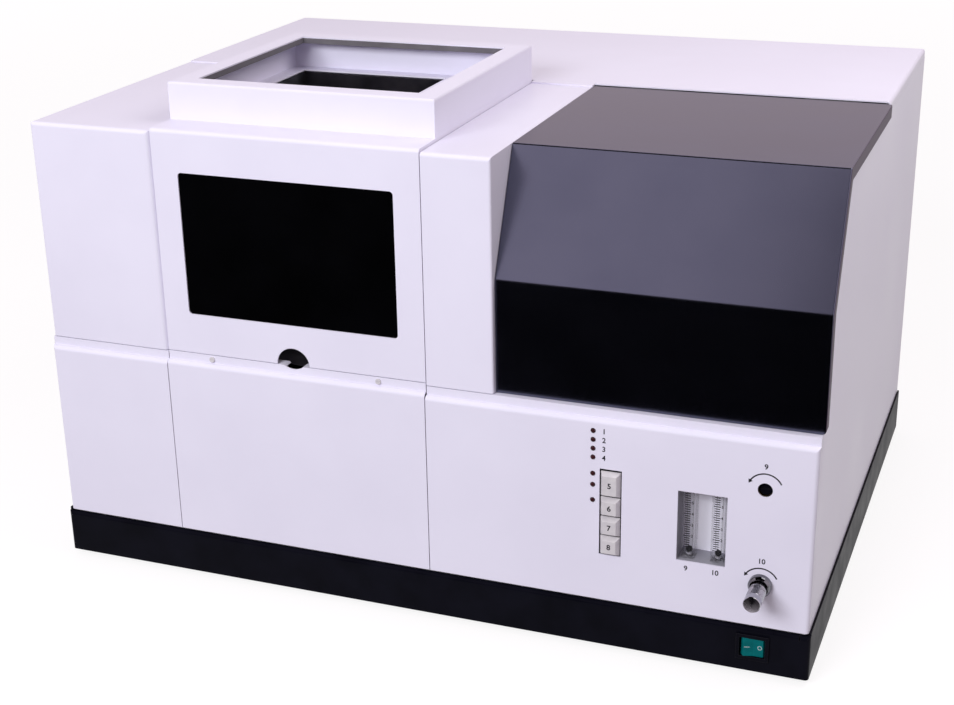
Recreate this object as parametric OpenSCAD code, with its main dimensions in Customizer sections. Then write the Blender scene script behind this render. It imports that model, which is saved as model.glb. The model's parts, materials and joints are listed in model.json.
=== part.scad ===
// Atomic absorption spectrophotometer: a bench cabinet with a lift-up burner hood, a lift-up
// lamp cover and a gas control panel, and with the burner, optics, lamps and gas parts inside.
// Sizes are in millimetres. +X is right, +Y is back, +Z is up. The origin lies on the bench,
// under the middle of the base.

/* [Cabinet] */
// Width over the side panels
cabinet_w = 835; // [825:1:875]
// Depth from the lower front panels to the rear panel
cabinet_d = 645; // [638:1:680]
// Height of the front tops above the bench
cabinet_top = 504; // [500:1:525]
// Thickness of the painted sheet
sheet = 1.5; // [1:0.1:2]
// Outer radius of the bends at the cabinet corners
bend_r = 4; // [2.5:0.5:6]
// Outer radius of the left cover's edge beside the hood
soft_edge_r = 6; // [3:0.5:8]
// Width of the open seams between the front covers
seam = 0.8; // [0.4:0.1:0.9]
// Hairline gap between panels that butt on the sides
butt_gap = 0.3; // [0.1:0.1:0.8]
// Height of the rear top above the front tops
rear_lap = 1.5; // [0.5:0.1:3]
// Depth of the rear top's laps on the fixed front tops
top_lap = 4; // [2:0.5:8]
// Turned-down edge of the top covers
skirt_h = 8; // [7:0.5:12]
// Depth of the sheet's return behind each front edge
return_d = 12; // [9:0.5:13]
// Setback of the upper fronts behind the lower panels
step_back = 5; // [3.5:0.5:6]
// Height of the left seam between the upper and lower fronts
seam_z = 266; // [260:1:275]
// Rise of the seam under the hood
hood_seam_rise = 1.2; // [0:0.1:2]
// Drop of the seam over the control panel
control_seam_drop = 1.7; // [0:0.1:3]
// Height of the lip above the shoulder of the lower panels
lip_h = 9; // [8:0.5:12]
// Diameter of the panel screws' heads
screw_head_d = 6; // [5:0.5:7]
// Height of the panel screws' heads
screw_head_h = 1.5; // [1:0.1:2.5]
// Diameter of the panel screws' shanks
screw_d = 3; // [2:0.5:4]
// Distance of the lip screws from the hood's sides
lip_screw_in = 52; // [30:1:80]

/* [Base] */
// Height of the black plinth
plinth_h = 48; // [44:1:52]
// Distance the plinth stands proud of the cabinet
plinth_proud = 2.5; // [2.5:0.5:5]
// Wall of the plinth's channel
plinth_wall = 2; // [1.5:0.1:2]
// Outer radius of the plinth's bends
plinth_r = 4; // [2.5:0.5:4]
// Width of the plinth's flanges
plinth_flange = 70; // [66:1:100]
// Rise of the plinth's side walls above its front
plinth_side_rise = 3; // [1:0.5:5]
// Gap between the plinth and the panels above it
shadow_gap = 2; // [1:0.5:2.5]
// Thickness of the base plate
plate_t = 3; // [2.6:0.1:6]
// Height of the rubber feet
foot_h = 8; // [5:1:15]
// Diameter of the rubber feet
foot_d = 36; // [24:1:44]
// Distance of the feet from the plinth's edges
foot_in = 50; // [40:1:60]

/* [Front layout] */
// Width of the left section
left_w = 144; // [140:1:160]
// Width of the hood
hood_w = 296; // [280:1:310]
// Width of the optics column
column_w = 72; // [66:1:80]
// Depth of the front tops, from the upper front to the hinge line
top_d = 332.5; // [325:0.5:340]

/* [Hood] */
// Height of the hood's ledge above the front tops
hood_rise = 3; // [1:0.5:6]
// Depth of the ledge in front of the collar
ledge_d = 42; // [30:1:60]
// Height of the collar above the ledge
collar_h = 39; // [30:1:60]
// Outer radius of the collar's top edges
collar_r = 2.5; // [2:0.5:4]
// Width of the flange round the chimney opening
collar_flange = 23; // [15:1:40]
// Depth of the dark trim inside the chimney opening
trim_h = 6; // [4:0.5:15]
// Thickness of the dark trim
trim_t = 1.2; // [0.8:0.1:2]
// Length of the hood's side skirts below the front tops
hood_skirt = 12; // [11:1:20]
// Width of the window opening
window_w = 238; // [200:1:250]
// Height of the window opening
window_h = 152; // [120:1:170]
// Height of the window's middle above the bench
window_z = 387; // [380:1:395]
// Corner radius of the window opening
window_r = 4; // [2:0.5:10]
// Thickness of the window pane
pane_t = 3; // [2:0.5:5]
// Overlap of the pane behind the opening
pane_lap = 8; // [4:0.5:10]
// Radius of the finger notch
notch_r = 18.5; // [12:0.5:24]
// Depth of the arc that carries the notch on into the lip below
notch_low = 4; // [2:0.5:6]

/* [Hinge] */
// Depth of the hinge line below the front tops
hinge_drop = 2.5; // [2.3:0.1:3]
// Distance from the hinge line to the edges on either side
edge_gap = 3; // [2.9:0.1:4]
// Diameter of the hinge rod
rod_d = 2.6; // [2:0.1:3.2]
// Diameter of the hinge knuckles
knuckle_d = 5.4; // [4.6:0.1:5.6]
// Length of a moving knuckle
knuckle_l = 30; // [20:1:50]
// Length of a fixed knuckle
fixed_knuckle_l = 15; // [10:1:30]
// Radial play of the rod in its knuckles
hinge_play = 0.05; // [0.02:0.01:0.09]
// End play between knuckles
knuckle_gap = 0.3; // [0.2:0.1:0.6]
// Distance of the knuckle stations from the ends of the hood and cover
station_in = 60; // [50:1:70]
// Thickness of the hinge rail
rail_t = 2; // [1.5:0.1:3]
// Height of the hinge rail
rail_h = 30; // [20:1:40]
// Width of the hinge rail's flange
rail_flange = 25; // [15:1:40]

/* [Lamp cover] */
// Thickness of the cover
cover_t = 2; // [1.5:0.1:2]
// Gap between the cover's lip and the right side panel
cover_side_gap = 0.5; // [0.3:0.1:0.5]
// Setback of the cover's front behind the upper front
cover_setback = 6.5; // [5:0.5:8]
// Height of the crease between the vertical and the slanted face
crease_z = 382; // [340:1:420]
// Distance of the top bend behind the upper front
top_bend_d = 61; // [40:1:80]
// Depth of the lip over the right side
cover_lip = 13; // [9:0.5:20]
// Gap under the cover's front edge
cover_bottom_gap = 0.5; // [0.3:0.1:0.8]
// Gap between the cover and the pieces inside it
cover_inner_gap = 1; // [0.5:0.1:2]

/* [Control panel] */
// Distance of the indicator lamps from the right side
led_in = 218.5; // [214:0.5:230]
// Height of the top indicator lamp
led_z = 242.5; // [235:0.5:244]
// Pitch of the four upper indicator lamps
led_pitch = 9.4; // [7:0.1:10]
// Diameter of an indicator lamp
led_d = 5; // [3:0.1:5.2]
// Distance the indicator lamps stand proud
led_proud = 0.7; // [0.2:0.1:2]
// Radial gap round the indicator lamps
led_gap = 0.15; // [0.1:0.05:0.3]
// Distance of the button slot's middle from the right side
slot_in = 200.3; // [198:0.1:204]
// Height of the top of the button slot
slot_top = 203; // [192:0.5:206]
// Gap above the top button in its slot
slot_head = 2.2; // [0.7:0.1:3]
// Width of the button slot
slot_w = 22.5; // [18:0.5:23]
// Height of the top button
first_button_h = 27; // [22:0.5:30]
// Height of each other button
button_h = 20.6; // [16:0.2:22]
// Gap between buttons, and round them in the slot
button_gap = 0.7; // [0.4:0.1:1]
// Distance the buttons stand proud of the panel
button_proud = 5; // [4.2:0.1:8]
// Width of the bevel round a button's face
button_bevel = 3; // [1:0.5:5]
// Depth of the bevel's foot behind the panel's front
bevel_sink = 1; // [0:0.5:2]
// Travel of a button
button_travel = 3; // [1:0.5:4]
// Diameter of a button's stem
button_stem_d = 5; // [3:0.5:8]
// Wall of the button block
block_wall = 3.2; // [2:0.1:3.3]
// Depth of the button block
block_d = 22; // [20:1:30]
// Depth of the pockets in the button block
pocket_d = 12; // [11:0.5:16]
// Radial play of a stem or spindle in its bore
spindle_play = 0.05; // [0.02:0.01:0.09]
// Thickness of the circuit boards
board_t = 1.6; // [1:0.1:2.4]
// Distance of the flowmeter's middle from the right side
flow_in = 108.5; // [100:0.5:120]
// Height of the flowmeter's middle
flow_z = 154; // [150:0.5:160]
// Width of the flowmeter opening
flow_w = 48.5; // [44:0.5:56]
// Height of the flowmeter opening
flow_h = 75; // [65:0.5:85]
// Wall of the flowmeter body
flow_wall = 4; // [2:0.5:8]
// Depth of the flowmeter recess
flow_d = 27; // [20:1:40]
// Distance of each flow tube from the flowmeter's middle
tube_off = 14.5; // [13:0.5:16]
// Width of a flow tube
tube_w = 13; // [11:0.5:14]
// Bore of a flow tube
tube_bore = 7; // [5:0.5:8]
// Height of the stem under each float
stem_h = 4; // [3:0.5:8]
// Radial gap round a float
float_gap = 0.3; // [0.2:0.05:0.5]
// Gap between a float and its stop
float_seat = 0.2; // [0.1:0.05:0.5]
// Distance of the valve and adjuster from the right side
valve_in = 49; // [44:0.5:54]
// Height of the oxidant adjuster
adjuster_z = 205; // [195:1:215]
// Diameter of the adjuster's hole in the panel
adjuster_hole_d = 14.4; // [10:0.2:18]
// Radial gap round the adjuster
adjuster_gap = 0.4; // [0.2:0.1:0.8]
// Depth of the adjuster's face behind the panel's front
adjuster_recess = 5; // [2:0.5:8]
// Height of the needle valve
valve_z = 104; // [98:1:115]
// Diameter of the valve's nut
nut_d = 23; // [18:0.5:26]
// Thickness of the valve's nut
nut_h = 8; // [5:0.5:9]
// Diameter of the valve's threaded neck
neck_d = 12; // [10:0.5:15]
// Diameter of the valve's spindle
spindle_d = 6; // [4:0.5:8]
// Diameter of the valve's knob
knob_d = 17; // [14:0.5:20]
// Length of the valve's knob
knob_l = 31; // [20:0.5:40]
// Gap between the knob and the neck
knob_gap = 0.5; // [0.3:0.1:1]

/* [Rocker switch] */
// Distance of the switch's middle from the plinth's right side
rocker_in = 55.8; // [40:0.1:90]
// Height of the switch's middle above the plinth's foot
rocker_up = 27; // [20:0.5:30]
// Width of the rocker
rocker_w = 25; // [20:0.5:28]
// Height of the rocker
rocker_h = 20; // [15:0.5:24]
// Swing of the rocker from off to on, in degrees
rocker_swing = 16; // [10:1:20]
// Gap round the rocker
rocker_gap = 0.3; // [0.2:0.1:0.6]
// Wall of the switch body
rocker_wall = 2; // [1.5:0.1:3]
// Width of the bezel beyond the switch body
bezel_lip = 1.5; // [1:0.1:3]
// Thickness of the bezel
bezel_t = 2; // [1:0.1:3]
// Depth of the switch body behind the plinth's front
rocker_body_d = 25; // [20:1:35]

/* [Burner] */
// Height of the light beam above the bench
beam_z = 400; // [395:1:410]
// Distance of the light beam behind the upper front
beam_d = 177.5; // [170:0.5:185]
// Thickness of the burner chamber's sheet
chamber_t = 1.2; // [0.8:0.1:2]
// Distance of the burner's middle from the hood's left side
burner_in = 110; // [106:1:150]
// Width of the flue opening in the hood's floor
flue_w = 178; // [160:1:184]
// Depth of the flue opening
flue_d = 238; // [225:1:240]
// Distance of the flue opening in front of the hood's rear wall
flue_in = 18; // [16:1:24]
// Height of the chamber's shelf
shelf_z = 262; // [255:1:270]
// Gap between the chamber's top and the hood's floor
chamber_drop = 1.5; // [1:0.5:4]
// Width of the burner post
post_w = 40; // [30:1:50]
// Depth of the burner post
post_d = 16; // [12:1:20]
// Height of the burner post
post_h = 80; // [78:1:84]
// Sliding gap between the carriage and the post
post_gap = 0.3; // [0.2:0.05:0.5]
// Wall of the carriage round the post
carriage_wall = 10; // [8:0.5:14]
// Height of the carriage
carriage_h = 50; // [45:1:52]
// Height of the carriage's foot above the shelf at rest
carriage_up = 20; // [15:1:22]
// Diameter of the spray chamber
spray_d = 50; // [44:1:56]
// Length of the spray chamber
spray_l = 100; // [90:1:120]
// Distance of the burner axis in front of the carriage
burner_reach = 40; // [34:1:46]
// Outer diameter of the spray chamber's neck
spray_neck_d = 32; // [30:1:36]
// Diameter of the burner head's tail
tail_d = 24; // [20:0.5:26]
// Length of the slot burner head
head_l = 110; // [100:1:120]
// Width of the slot burner head
head_w = 30; // [26:1:40]
// Height of the slot burner head
head_h = 26; // [20:1:30]
// Width of the burner slot
burner_slot = 0.8; // [0.5:0.1:1.5]
// Distance of the burner's top below the beam
flame_gap = 12; // [11:1:16]
// Diameter of the nebulizer body
nebulizer_d = 20; // [14:1:26]
// Length of the nebulizer body
nebulizer_l = 45; // [30:1:60]
// Diameter of the drain spout
drain_d = 12; // [8:1:16]

/* [Lamps] */
// Height of the lamp tray
tray_z = 275; // [271:1:280]
// Diameter of a lamp's envelope
lamp_d = 37; // [34:0.5:38]
// Gap between the turret's motor and the right side
motor_in = 44; // [34:1:69]
// Wall of a lamp's envelope
glass_t = 1.2; // [1:0.1:2]
// Length of a lamp's base
lamp_base_l = 25; // [18:1:30]
// Radius of the circle of lamps
turret_r = 48; // [46:0.5:52]
// Rim of the turret discs beyond the lamps' middles
turret_rim = 25; // [23:0.5:26]
// Thickness of the turret discs
disc_t = 7; // [5:0.5:10]
// Radial gap round a lamp in the front disc
lamp_gap = 0.4; // [0.2:0.1:0.8]
// Diameter of the turret's shaft
turret_shaft_d = 12; // [8:0.5:16]
// Gap between the turret and its bracket
turret_gap = 0.5; // [0.3:0.1:1]
// Size of the turret's motor
motor_size = 42; // [35:1:50]
// Length of the turret's motor
motor_l = 38; // [30:1:45]
// Thickness of the turret's bracket
bracket_t = 6; // [4:0.5:10]

/* [Optics] */
// Outer diameter of the lens barrels
barrel_d = 32; // [26:1:38]
// Wall of the lens barrels
barrel_wall = 3; // [2:0.5:5]
// Diameter of the lens barrels' flanges
barrel_flange_d = 44; // [40:1:50]
// Thickness of the lens barrels' flanges
barrel_flange_t = 2.5; // [2:0.1:3]
// Radial gap round the lens barrels
barrel_gap = 0.5; // [0.3:0.1:1]
// Thickness of a lens
lens_t = 4; // [2:0.5:6]
// Height of the monochromator's deck
deck_z = 330; // [320:1:340]
// Thickness of the monochromator's deck
deck_t = 8; // [5:0.5:12]
// Height of the monochromator's walls above the deck
mono_h = 112; // [100:1:118]
// Wall of the monochromator
mono_wall = 6; // [4:0.5:10]
// Depth of the monochromator's box
mono_d = 220; // [200:1:228]
// Width of the monochromator's box
mono_w = 345; // [320:1:350]
// Thickness of the monochromator's lid
lid_t = 4; // [3:0.5:8]
// Diameter of the deck's legs
leg_d = 24; // [18:1:30]
// Gap between the monochromator and the cabinet's sides
mono_in = 12; // [8:1:16]
// Distance of the entrance slit from the monochromator's left side
slit_in = 60; // [56:1:64]
// Distance from one slit to the other
slit_pitch = 215; // [200:1:230]
// Diameter of the grating table
grating_d = 44; // [36:1:56]
// Diameter of the detector tube
detector_d = 52; // [40:1:56]
// Length of the detector tube
detector_l = 62; // [50:1:66]

/* [Inner units] */
// Distance of the power supply from the left side
supply_in = 56; // [42:1:70]
// Width of the power supply
supply_w = 170; // [140:1:200]
// Depth of the power supply
supply_d = 160; // [120:1:170]
// Height of the power supply
supply_h = 90; // [70:1:120]
// Distance of the power supply behind the monochromator's front
supply_back = 20; // [15:1:25]
// Distance of the main board from the right side
board_in = 186; // [170:1:200]
// Width of the main board
board_w = 220; // [210:1:240]
// Depth of the main board
board_d = 150; // [140:1:160]
// Height of the main board above the base plate
board_up = 10; // [6:1:20]
// Distance of the main board behind the monochromator's front
board_back = 30; // [25:1:35]
// Distance of the gas manifold from the optics column
manifold_in = 20; // [10:1:40]
// Width of the gas manifold
manifold_w = 170; // [165:1:190]
// Depth of the gas manifold
manifold_d = 40; // [34:1:50]
// Height of the gas manifold
manifold_h = 40; // [30:1:50]
// Diameter of a solenoid on the manifold
solenoid_d = 30; // [24:1:32]
// Height of a solenoid
solenoid_h = 45; // [35:1:55]
// Pitch of the solenoids
solenoid_pitch = 55; // [45:1:56]

/* [Rear] */
// Size of the fan
fan_size = 92; // [80:1:100]
// Depth of the fan
fan_d = 25; // [22:1:38]
// Distance of the fan's middle from the right side
fan_in = 217.5; // [180:1:240]
// Height of the fan's middle
fan_z = 240; // [200:1:270]
// Diameter of the fan's hub
fan_hub_d = 36; // [30:1:42]
// Number of fan blades
fan_blades = 7; // [5:1:9]
// Distance of the mains inlet from the right side
inlet_in = 78; // [60:1:100]
// Height of the mains inlet and the gas inlets
inlet_z = 110; // [95:1:130]
// Pitch of the gas inlets
gas_pitch = 50; // [40:1:60]
// Diameter of the gas inlets' spigots
spigot_d = 8; // [6:0.5:10]
// Length of the gas inlets' spigots
spigot_l = 34; // [20:0.5:36]
// Height of the gas inlets' hexagons
gas_hex_h = 8.5; // [6:0.5:10]
// Width of the gas inlets' hexagons over the corners
gas_hex_d = 22; // [18:0.5:24]
// Length of the gas inlets' shanks behind the rear panel
shank_l = 12; // [9:0.5:16]
// Diameter of the gas inlets' threaded shanks
shank_d = 12; // [10:0.5:14]

/* [Hidden] */
$fn = 64;
cut = 1; // overshoot of a cut past the face it leaves
half_w = cabinet_w / 2;
front_y = -cabinet_d / 2;
rear_y = cabinet_d / 2;
upper_y = front_y + step_back;
side_in = half_w - sheet;
plinth_top = foot_h + plinth_h;
plinth_hw = half_w + plinth_proud;
plinth_hd = cabinet_d / 2 + plinth_proud;
panel_low = plinth_top + shadow_gap;
plate_top = plinth_top + plate_t;
x_left = -half_w + left_w;
x_hood = x_left + hood_w;
x_column = x_hood + column_w;
hood_x0 = x_left + seam / 2;
hood_x1 = x_hood - seam / 2;
hood_mid = (hood_x0 + hood_x1) / 2;
hinge_y = upper_y + top_d;
hinge_z = cabinet_top - hinge_drop;
edge_y = hinge_y - edge_gap;
rear_edge_y = hinge_y + edge_gap;
rail_y = rear_edge_y + 2 * sheet;
rear_top = cabinet_top + rear_lap;
skirt_z = cabinet_top - skirt_h;
side_y = front_y + return_d + butt_gap;
left_seam_z = seam_z;
hood_seam_z = seam_z + hood_seam_rise;
control_seam_z = seam_z - control_seam_drop;
hood_low = hood_seam_z + seam / 2;
control_top = control_seam_z - seam / 2;
ledge_z = cabinet_top + hood_rise;
collar_y = upper_y + ledge_d;
collar_top = ledge_z + collar_h;
// Lamp cover outline
cover_front = upper_y + cover_setback;
cover_low = control_top + cover_bottom_gap;
cover_x0 = x_column + seam;
cover_x1 = half_w + cover_side_gap + cover_t;
slant_run = top_bend_d - cover_setback;
slant_rise = cabinet_top - crease_z;
slant_len = norm([slant_run, slant_rise]);
// Hinge stations
hood_stations = [hood_x0 + station_in, hood_x1 - station_in];
cover_stations = [cover_x0 + station_in, half_w - station_in];
// Control panel places
panel_in = front_y + sheet;
led_x = half_w - led_in;
slot_x = half_w - slot_in;
button_heights = [first_button_h, button_h, button_h, button_h];
function button_top(i) = slot_top - slot_head - (i == 0 ? 0 : first_button_h + button_gap)
    - max(i - 1, 0) * (button_h + button_gap);
slot_low = button_top(3) - button_h - button_gap;
block_back = panel_in + block_d;
flow_x = half_w - flow_in;
tube_y = panel_in + tube_w / 2 + 5;
tube_low = flow_z - flow_h / 2;
float_r = tube_bore / 2 - float_gap;
float_z = tube_low + stem_h + float_seat + float_r;
valve_x = half_w - valve_in;
// Three lamps sit beside the upper buttons, the others in a column above them
led_heights = concat([for (i = [0:3]) led_z - i * led_pitch],
    [button_top(0) - 4, button_top(0) - 16, button_top(1) - 5]);
adjuster_d = adjuster_hole_d - 2 * adjuster_gap;
adjuster_face = front_y + adjuster_recess;
adjuster_l = 14;
regulator_neck_l = 24;
regulator_d = 44;
regulator_l = 45;
stem_l = 16;
valve_body = 26;
valve_body_l = 34;
neck_l = 11;
knob_y = front_y - neck_l - knob_gap - knob_l;
// Rocker switch places
rocker_x = plinth_hw - rocker_in;
rocker_z = foot_h + rocker_up;
rocker_r = rocker_w / 2;
rocker_axis_y = -plinth_hd + 7;
rocker_pin_d = 4;
switch_w = rocker_w + 2 * (rocker_gap + rocker_wall);
switch_h = rocker_h + 2 * (rocker_gap + rocker_wall);
// Burner places
beam_y = upper_y + beam_d;
burner_x = hood_x0 + burner_in;
flue_y1 = edge_y - sheet - flue_in;
flue_y0 = flue_y1 - flue_d;
chamber_x0 = burner_x - flue_w / 2 - chamber_t;
chamber_x1 = burner_x + flue_w / 2 + chamber_t;
chamber_y0 = upper_y + return_d + 1.5;
chamber_y1 = flue_y1 + chamber_t;
chamber_top = ledge_z - sheet - chamber_drop;
shelf_top = shelf_z + chamber_t;
carriage_y0 = beam_y + burner_reach;
post_y0 = carriage_y0 + carriage_wall + post_gap;
carriage_low = shelf_top + carriage_up;
spray_z = carriage_low + carriage_h / 2;
spray_y0 = carriage_y0 - spray_l;
burner_top = beam_z - flame_gap;
head_low = burner_top - head_h;
neck_top = head_low - 4;
// Lamp places
tray_y0 = cover_front + cover_t + cover_inner_gap;
tray_y1 = hinge_y - 15;
tray_top = tray_z + sheet;
turret_z = beam_z - turret_r;
disc_r = turret_r + turret_rim;
lamp_x0 = x_column + 36;
// The lamps are as long as the room between the column and the turret's motor lets them be
lamp_l = side_in - motor_in - motor_l - bracket_t - turret_gap - disc_t - lamp_base_l - lamp_x0;
lamp_base_x = lamp_x0 + lamp_l;
rear_disc_x = lamp_base_x + lamp_base_l;
front_disc_x = lamp_x0 + lamp_l / 2;
bracket_x = rear_disc_x + disc_t + turret_gap;
// Optics places
mono_x0 = -half_w + mono_in;
mono_y1 = rear_y - mono_in;
mono_y0 = mono_y1 - mono_d;
deck_top = deck_z + deck_t;
mono_top = deck_top + mono_h;
slit_x = mono_x0 + slit_in;
exit_x = slit_x + slit_pitch;
grating_x = (slit_x + exit_x) / 2;
grating_y = mono_y0 + 50;
arm_y0 = beam_y - 50;
arm_x1 = chamber_x0 - 14;
leg_in = leg_d / 2 + 4;
mirror_y = mono_y1 - mono_wall - 14;
// Rear places
fan_x = half_w - fan_in;
fan_y0 = rear_y - sheet - fan_d;
inlet_x = half_w - inlet_in;
gas_places = [for (i = [-1:1]) i * gas_pitch - gas_pitch];
// Colours
paint = [0.92, 0.90, 0.95];
black = [0.05, 0.05, 0.06];
steel = [0.62, 0.63, 0.65];
cast = [0.72, 0.73, 0.75];
brassy = [0.75, 0.62, 0.35];
cream = [0.88, 0.86, 0.80];
board_green = [0.10, 0.35, 0.20];

// Block between two corners
module block(lo, hi) { translate(lo) cube(hi - lo); }

// Round bars along the three axes, from a point and a length
module bar_x(p, l, d) { translate(p) rotate([0, 90, 0]) cylinder(h = l, d = d); }
module bar_y(p, l, d) { translate(p) rotate([-90, 0, 0]) cylinder(h = l, d = d); }
module bar_z(p, l, d) { translate(p) cylinder(h = l, d = d); }

// Prisms of a flat outline: (y, z) drawn along X, (x, z) along Y and (x, y) along Z
module prism_x(x0, x1) { translate([x0, 0, 0]) rotate([90, 0, 90]) linear_extrude(x1 - x0) children(); }
module prism_y(y0, y1) { translate([0, y1, 0]) rotate([90, 0, 0]) linear_extrude(y1 - y0) children(); }
module prism_z(z0, z1) { translate([0, 0, z0]) linear_extrude(z1 - z0) children(); }

// Waste outside a rounded corner at p, where the sheet lies towards "into"
module corner_waste(p, into, r) {
    c = p + into * r;
    difference() {
        translate([min(p.x, c.x), min(p.y, c.y)]) square(r);
        translate(c) circle(r);
    }
}

// Rectangle with its own radius at each corner, anticlockwise from the low corner
module rounded_rect(lo, hi, r) {
    difference() {
        translate(lo) square(hi - lo);
        if (r[0] > 0) corner_waste(lo, [1, 1], r[0]);
        if (r[1] > 0) corner_waste([hi.x, lo.y], [-1, 1], r[1]);
        if (r[2] > 0) corner_waste(hi, [-1, -1], r[2]);
        if (r[3] > 0) corner_waste([lo.x, hi.y], [1, -1], r[3]);
    }
}

// Base

// Plinth's ring, drawn inwards by d, with bends at its upright corners and along its top
module plinth_body(d) {
    lo = [-plinth_hw + d, -plinth_hd + d, foot_h + d];
    hi = [plinth_hw - d, plinth_hd - d, plinth_top - d];
    r = plinth_r - d;
    intersection() {
        prism_x(lo.x, hi.x) rounded_rect([lo.y, lo.z], [hi.y, hi.z], r * [0, 0, 1, 1]);
        prism_z(lo.z, hi.z) rounded_rect([lo.x, lo.y], [hi.x, hi.y], r * [1, 1, 1, 1]);
    }
}

module base_plinth() {
    hole_x = switch_w / 2 + rocker_gap;
    hole_z = switch_h / 2 + rocker_gap;
    slit_from = plinth_hw - 11;
    color(black) difference() {
        union() {
            plinth_body(0);
            for (side = [-1, 1])
                block([min(side * plinth_hw, side * (plinth_hw - plinth_wall)), -plinth_hd + plinth_r,
                        plinth_top - cut],
                    [max(side * plinth_hw, side * (plinth_hw - plinth_wall)), plinth_hd - plinth_r,
                        plinth_top + plinth_side_rise]);
        }
        plinth_body(plinth_wall);
        block([-plinth_hw + plinth_flange, -plinth_hd + plinth_flange, foot_h - cut],
            [plinth_hw - plinth_flange, plinth_hd - plinth_flange, plinth_top + cut]);
        block([rocker_x - hole_x, -plinth_hd - cut, rocker_z - hole_z],
            [rocker_x + hole_x, -plinth_hd + plinth_wall + cut, rocker_z + hole_z]);
        block([slit_from, -plinth_hd - cut, plinth_top - 5],
            [slit_from + 1, -plinth_hd + plinth_wall + cut, plinth_top + cut]);
    }
}

module base_plate() {
    // Its front corners clear the bends of the lower panels
    color(steel) prism_z(plinth_top, plate_top)
        rounded_rect([-side_in, front_y + sheet + butt_gap],
            [side_in, rear_y - sheet], bend_r * [1, 1, 0, 0]);
}

module rubber_feet() {
    color([0.12, 0.12, 0.12])
        for (sx = [-1, 1], sy = [-1, 1])
            translate([sx * (plinth_hw - foot_in), sy * (plinth_hd - foot_in), 0])
                cylinder(h = foot_h, d1 = foot_d - 4, d2 = foot_d);
}

// Cabinet sheets

module left_side_panel() {
    color(paint) block([-half_w, side_y, panel_low], [-side_in, rear_y, skirt_z - butt_gap]);
}

// Outline of the lamp cover in (y, z), drawn inwards by d, down to low and back to far
function cover_outline(d, low, far) = [
    [cover_front + d, low],
    [cover_front + d, crease_z - d * (slant_len - slant_rise) / slant_run],
    [cover_front + slant_run + d * (slant_len - slant_run) / slant_rise, cabinet_top - d],
    [far, cabinet_top - d],
    [far, low]];

// The right side follows the lamp cover above the control panel
module right_side_panel() {
    edge = cover_outline(cover_t + cover_inner_gap, control_top, edge_y);
    low_edge = [[rear_y, skirt_z - butt_gap], [rear_y, panel_low], [side_y, panel_low],
        [side_y, control_top]];
    color(paint) prism_x(side_in, half_w)
        polygon(concat([for (i = [0:3]) edge[i]], [[edge_y, skirt_z - butt_gap]], low_edge));
}

module rear_panel() {
    slot_rows = 8;
    slot_row_pitch = fan_size / (slot_rows + 1);
    color(paint) difference() {
        block([-side_in, rear_y - sheet, panel_low], [side_in, rear_y, skirt_z - butt_gap]);
        for (i = [1:slot_rows])
            block([fan_x - fan_size * 0.42, rear_y - sheet - cut,
                fan_z - fan_size / 2 + i * slot_row_pitch - 2.5],
                [fan_x + fan_size * 0.42, rear_y + cut, fan_z - fan_size / 2 + i * slot_row_pitch + 2.5]);
        block([inlet_x - inlet_hw, rear_y - sheet - cut, inlet_z - inlet_hh],
            [inlet_x + inlet_hw, rear_y + cut, inlet_z + inlet_hh]);
        for (x = gas_places)
            bar_y([x, rear_y - sheet - cut, inlet_z], sheet + 2 * cut, shank_d + 2 * barrel_gap);
        for (p = rear_screw_places)
            bar_y([p.x, rear_y - sheet - cut, p.y], sheet + 2 * cut, screw_d + 2 * spindle_play);
    }
}
inlet_hw = 24;
inlet_hh = 14;
rear_screw_places = [for (sx = [-1, 1], z = [panel_low + 20, (panel_low + skirt_z) / 2, skirt_z - 20])
    [sx * (side_in - 14), z]];

// Rear top: a shallow tray turned over, with bends at both sides and the back
module rear_top_body(d) {
    over = d > 0 ? cut : 0;
    lo = [-half_w + d, rear_edge_y - over, skirt_z - over];
    hi = [half_w - d, rear_y - d, rear_top - d];
    r = bend_r - d;
    intersection() {
        prism_z(lo.z, hi.z) rounded_rect([lo.x, lo.y], [hi.x, hi.y], [0, 0, r, r]);
        prism_x(lo.x, hi.x) rounded_rect([lo.y, lo.z], [hi.y, hi.z], [0, 0, r, 0]);
        prism_y(lo.y, hi.y) rounded_rect([lo.x, lo.z], [hi.x, hi.z], [0, 0, r, r]);
    }
}

module rear_top_cover() {
    color(paint) {
        difference() {
            rear_top_body(0);
            rear_top_body(sheet);
        }
        // Laps that close the seams behind the left cover and the column
        for (span = [[-half_w + bend_r, x_left - seam / 2], [x_hood + seam / 2, x_column]])
            block([span[0], edge_y - top_lap, cabinet_top], [span[1], rear_edge_y + sheet, rear_top]);
    }
}

// Left upper cover: front, top, and short returns at both sides
module left_cover_body(d) {
    over = d > 0 ? cut : 0;
    lo = [-half_w + d, upper_y + d, left_seam_z + seam / 2 - over];
    hi = [x_left - seam / 2 - d, edge_y + over, cabinet_top - d];
    r = bend_r - d;
    intersection() {
        prism_z(lo.z, hi.z) rounded_rect([lo.x, lo.y], [hi.x, hi.y], [r, soft_edge_r - d, 0, 0]);
        prism_x(lo.x, hi.x) rounded_rect([lo.y, lo.z], [hi.y, hi.z], [0, 0, 0, r]);
        prism_y(lo.y, hi.y) rounded_rect([lo.x, lo.z], [hi.x, hi.z], [0, 0, 0, r]);
    }
}

module left_upper_cover() {
    color(paint) difference() {
        left_cover_body(0);
        left_cover_body(sheet);
        block([-half_w - cut, upper_y + return_d - step_back, left_seam_z],
            [x_left + cut, edge_y + cut, skirt_z]);
    }
}

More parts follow.
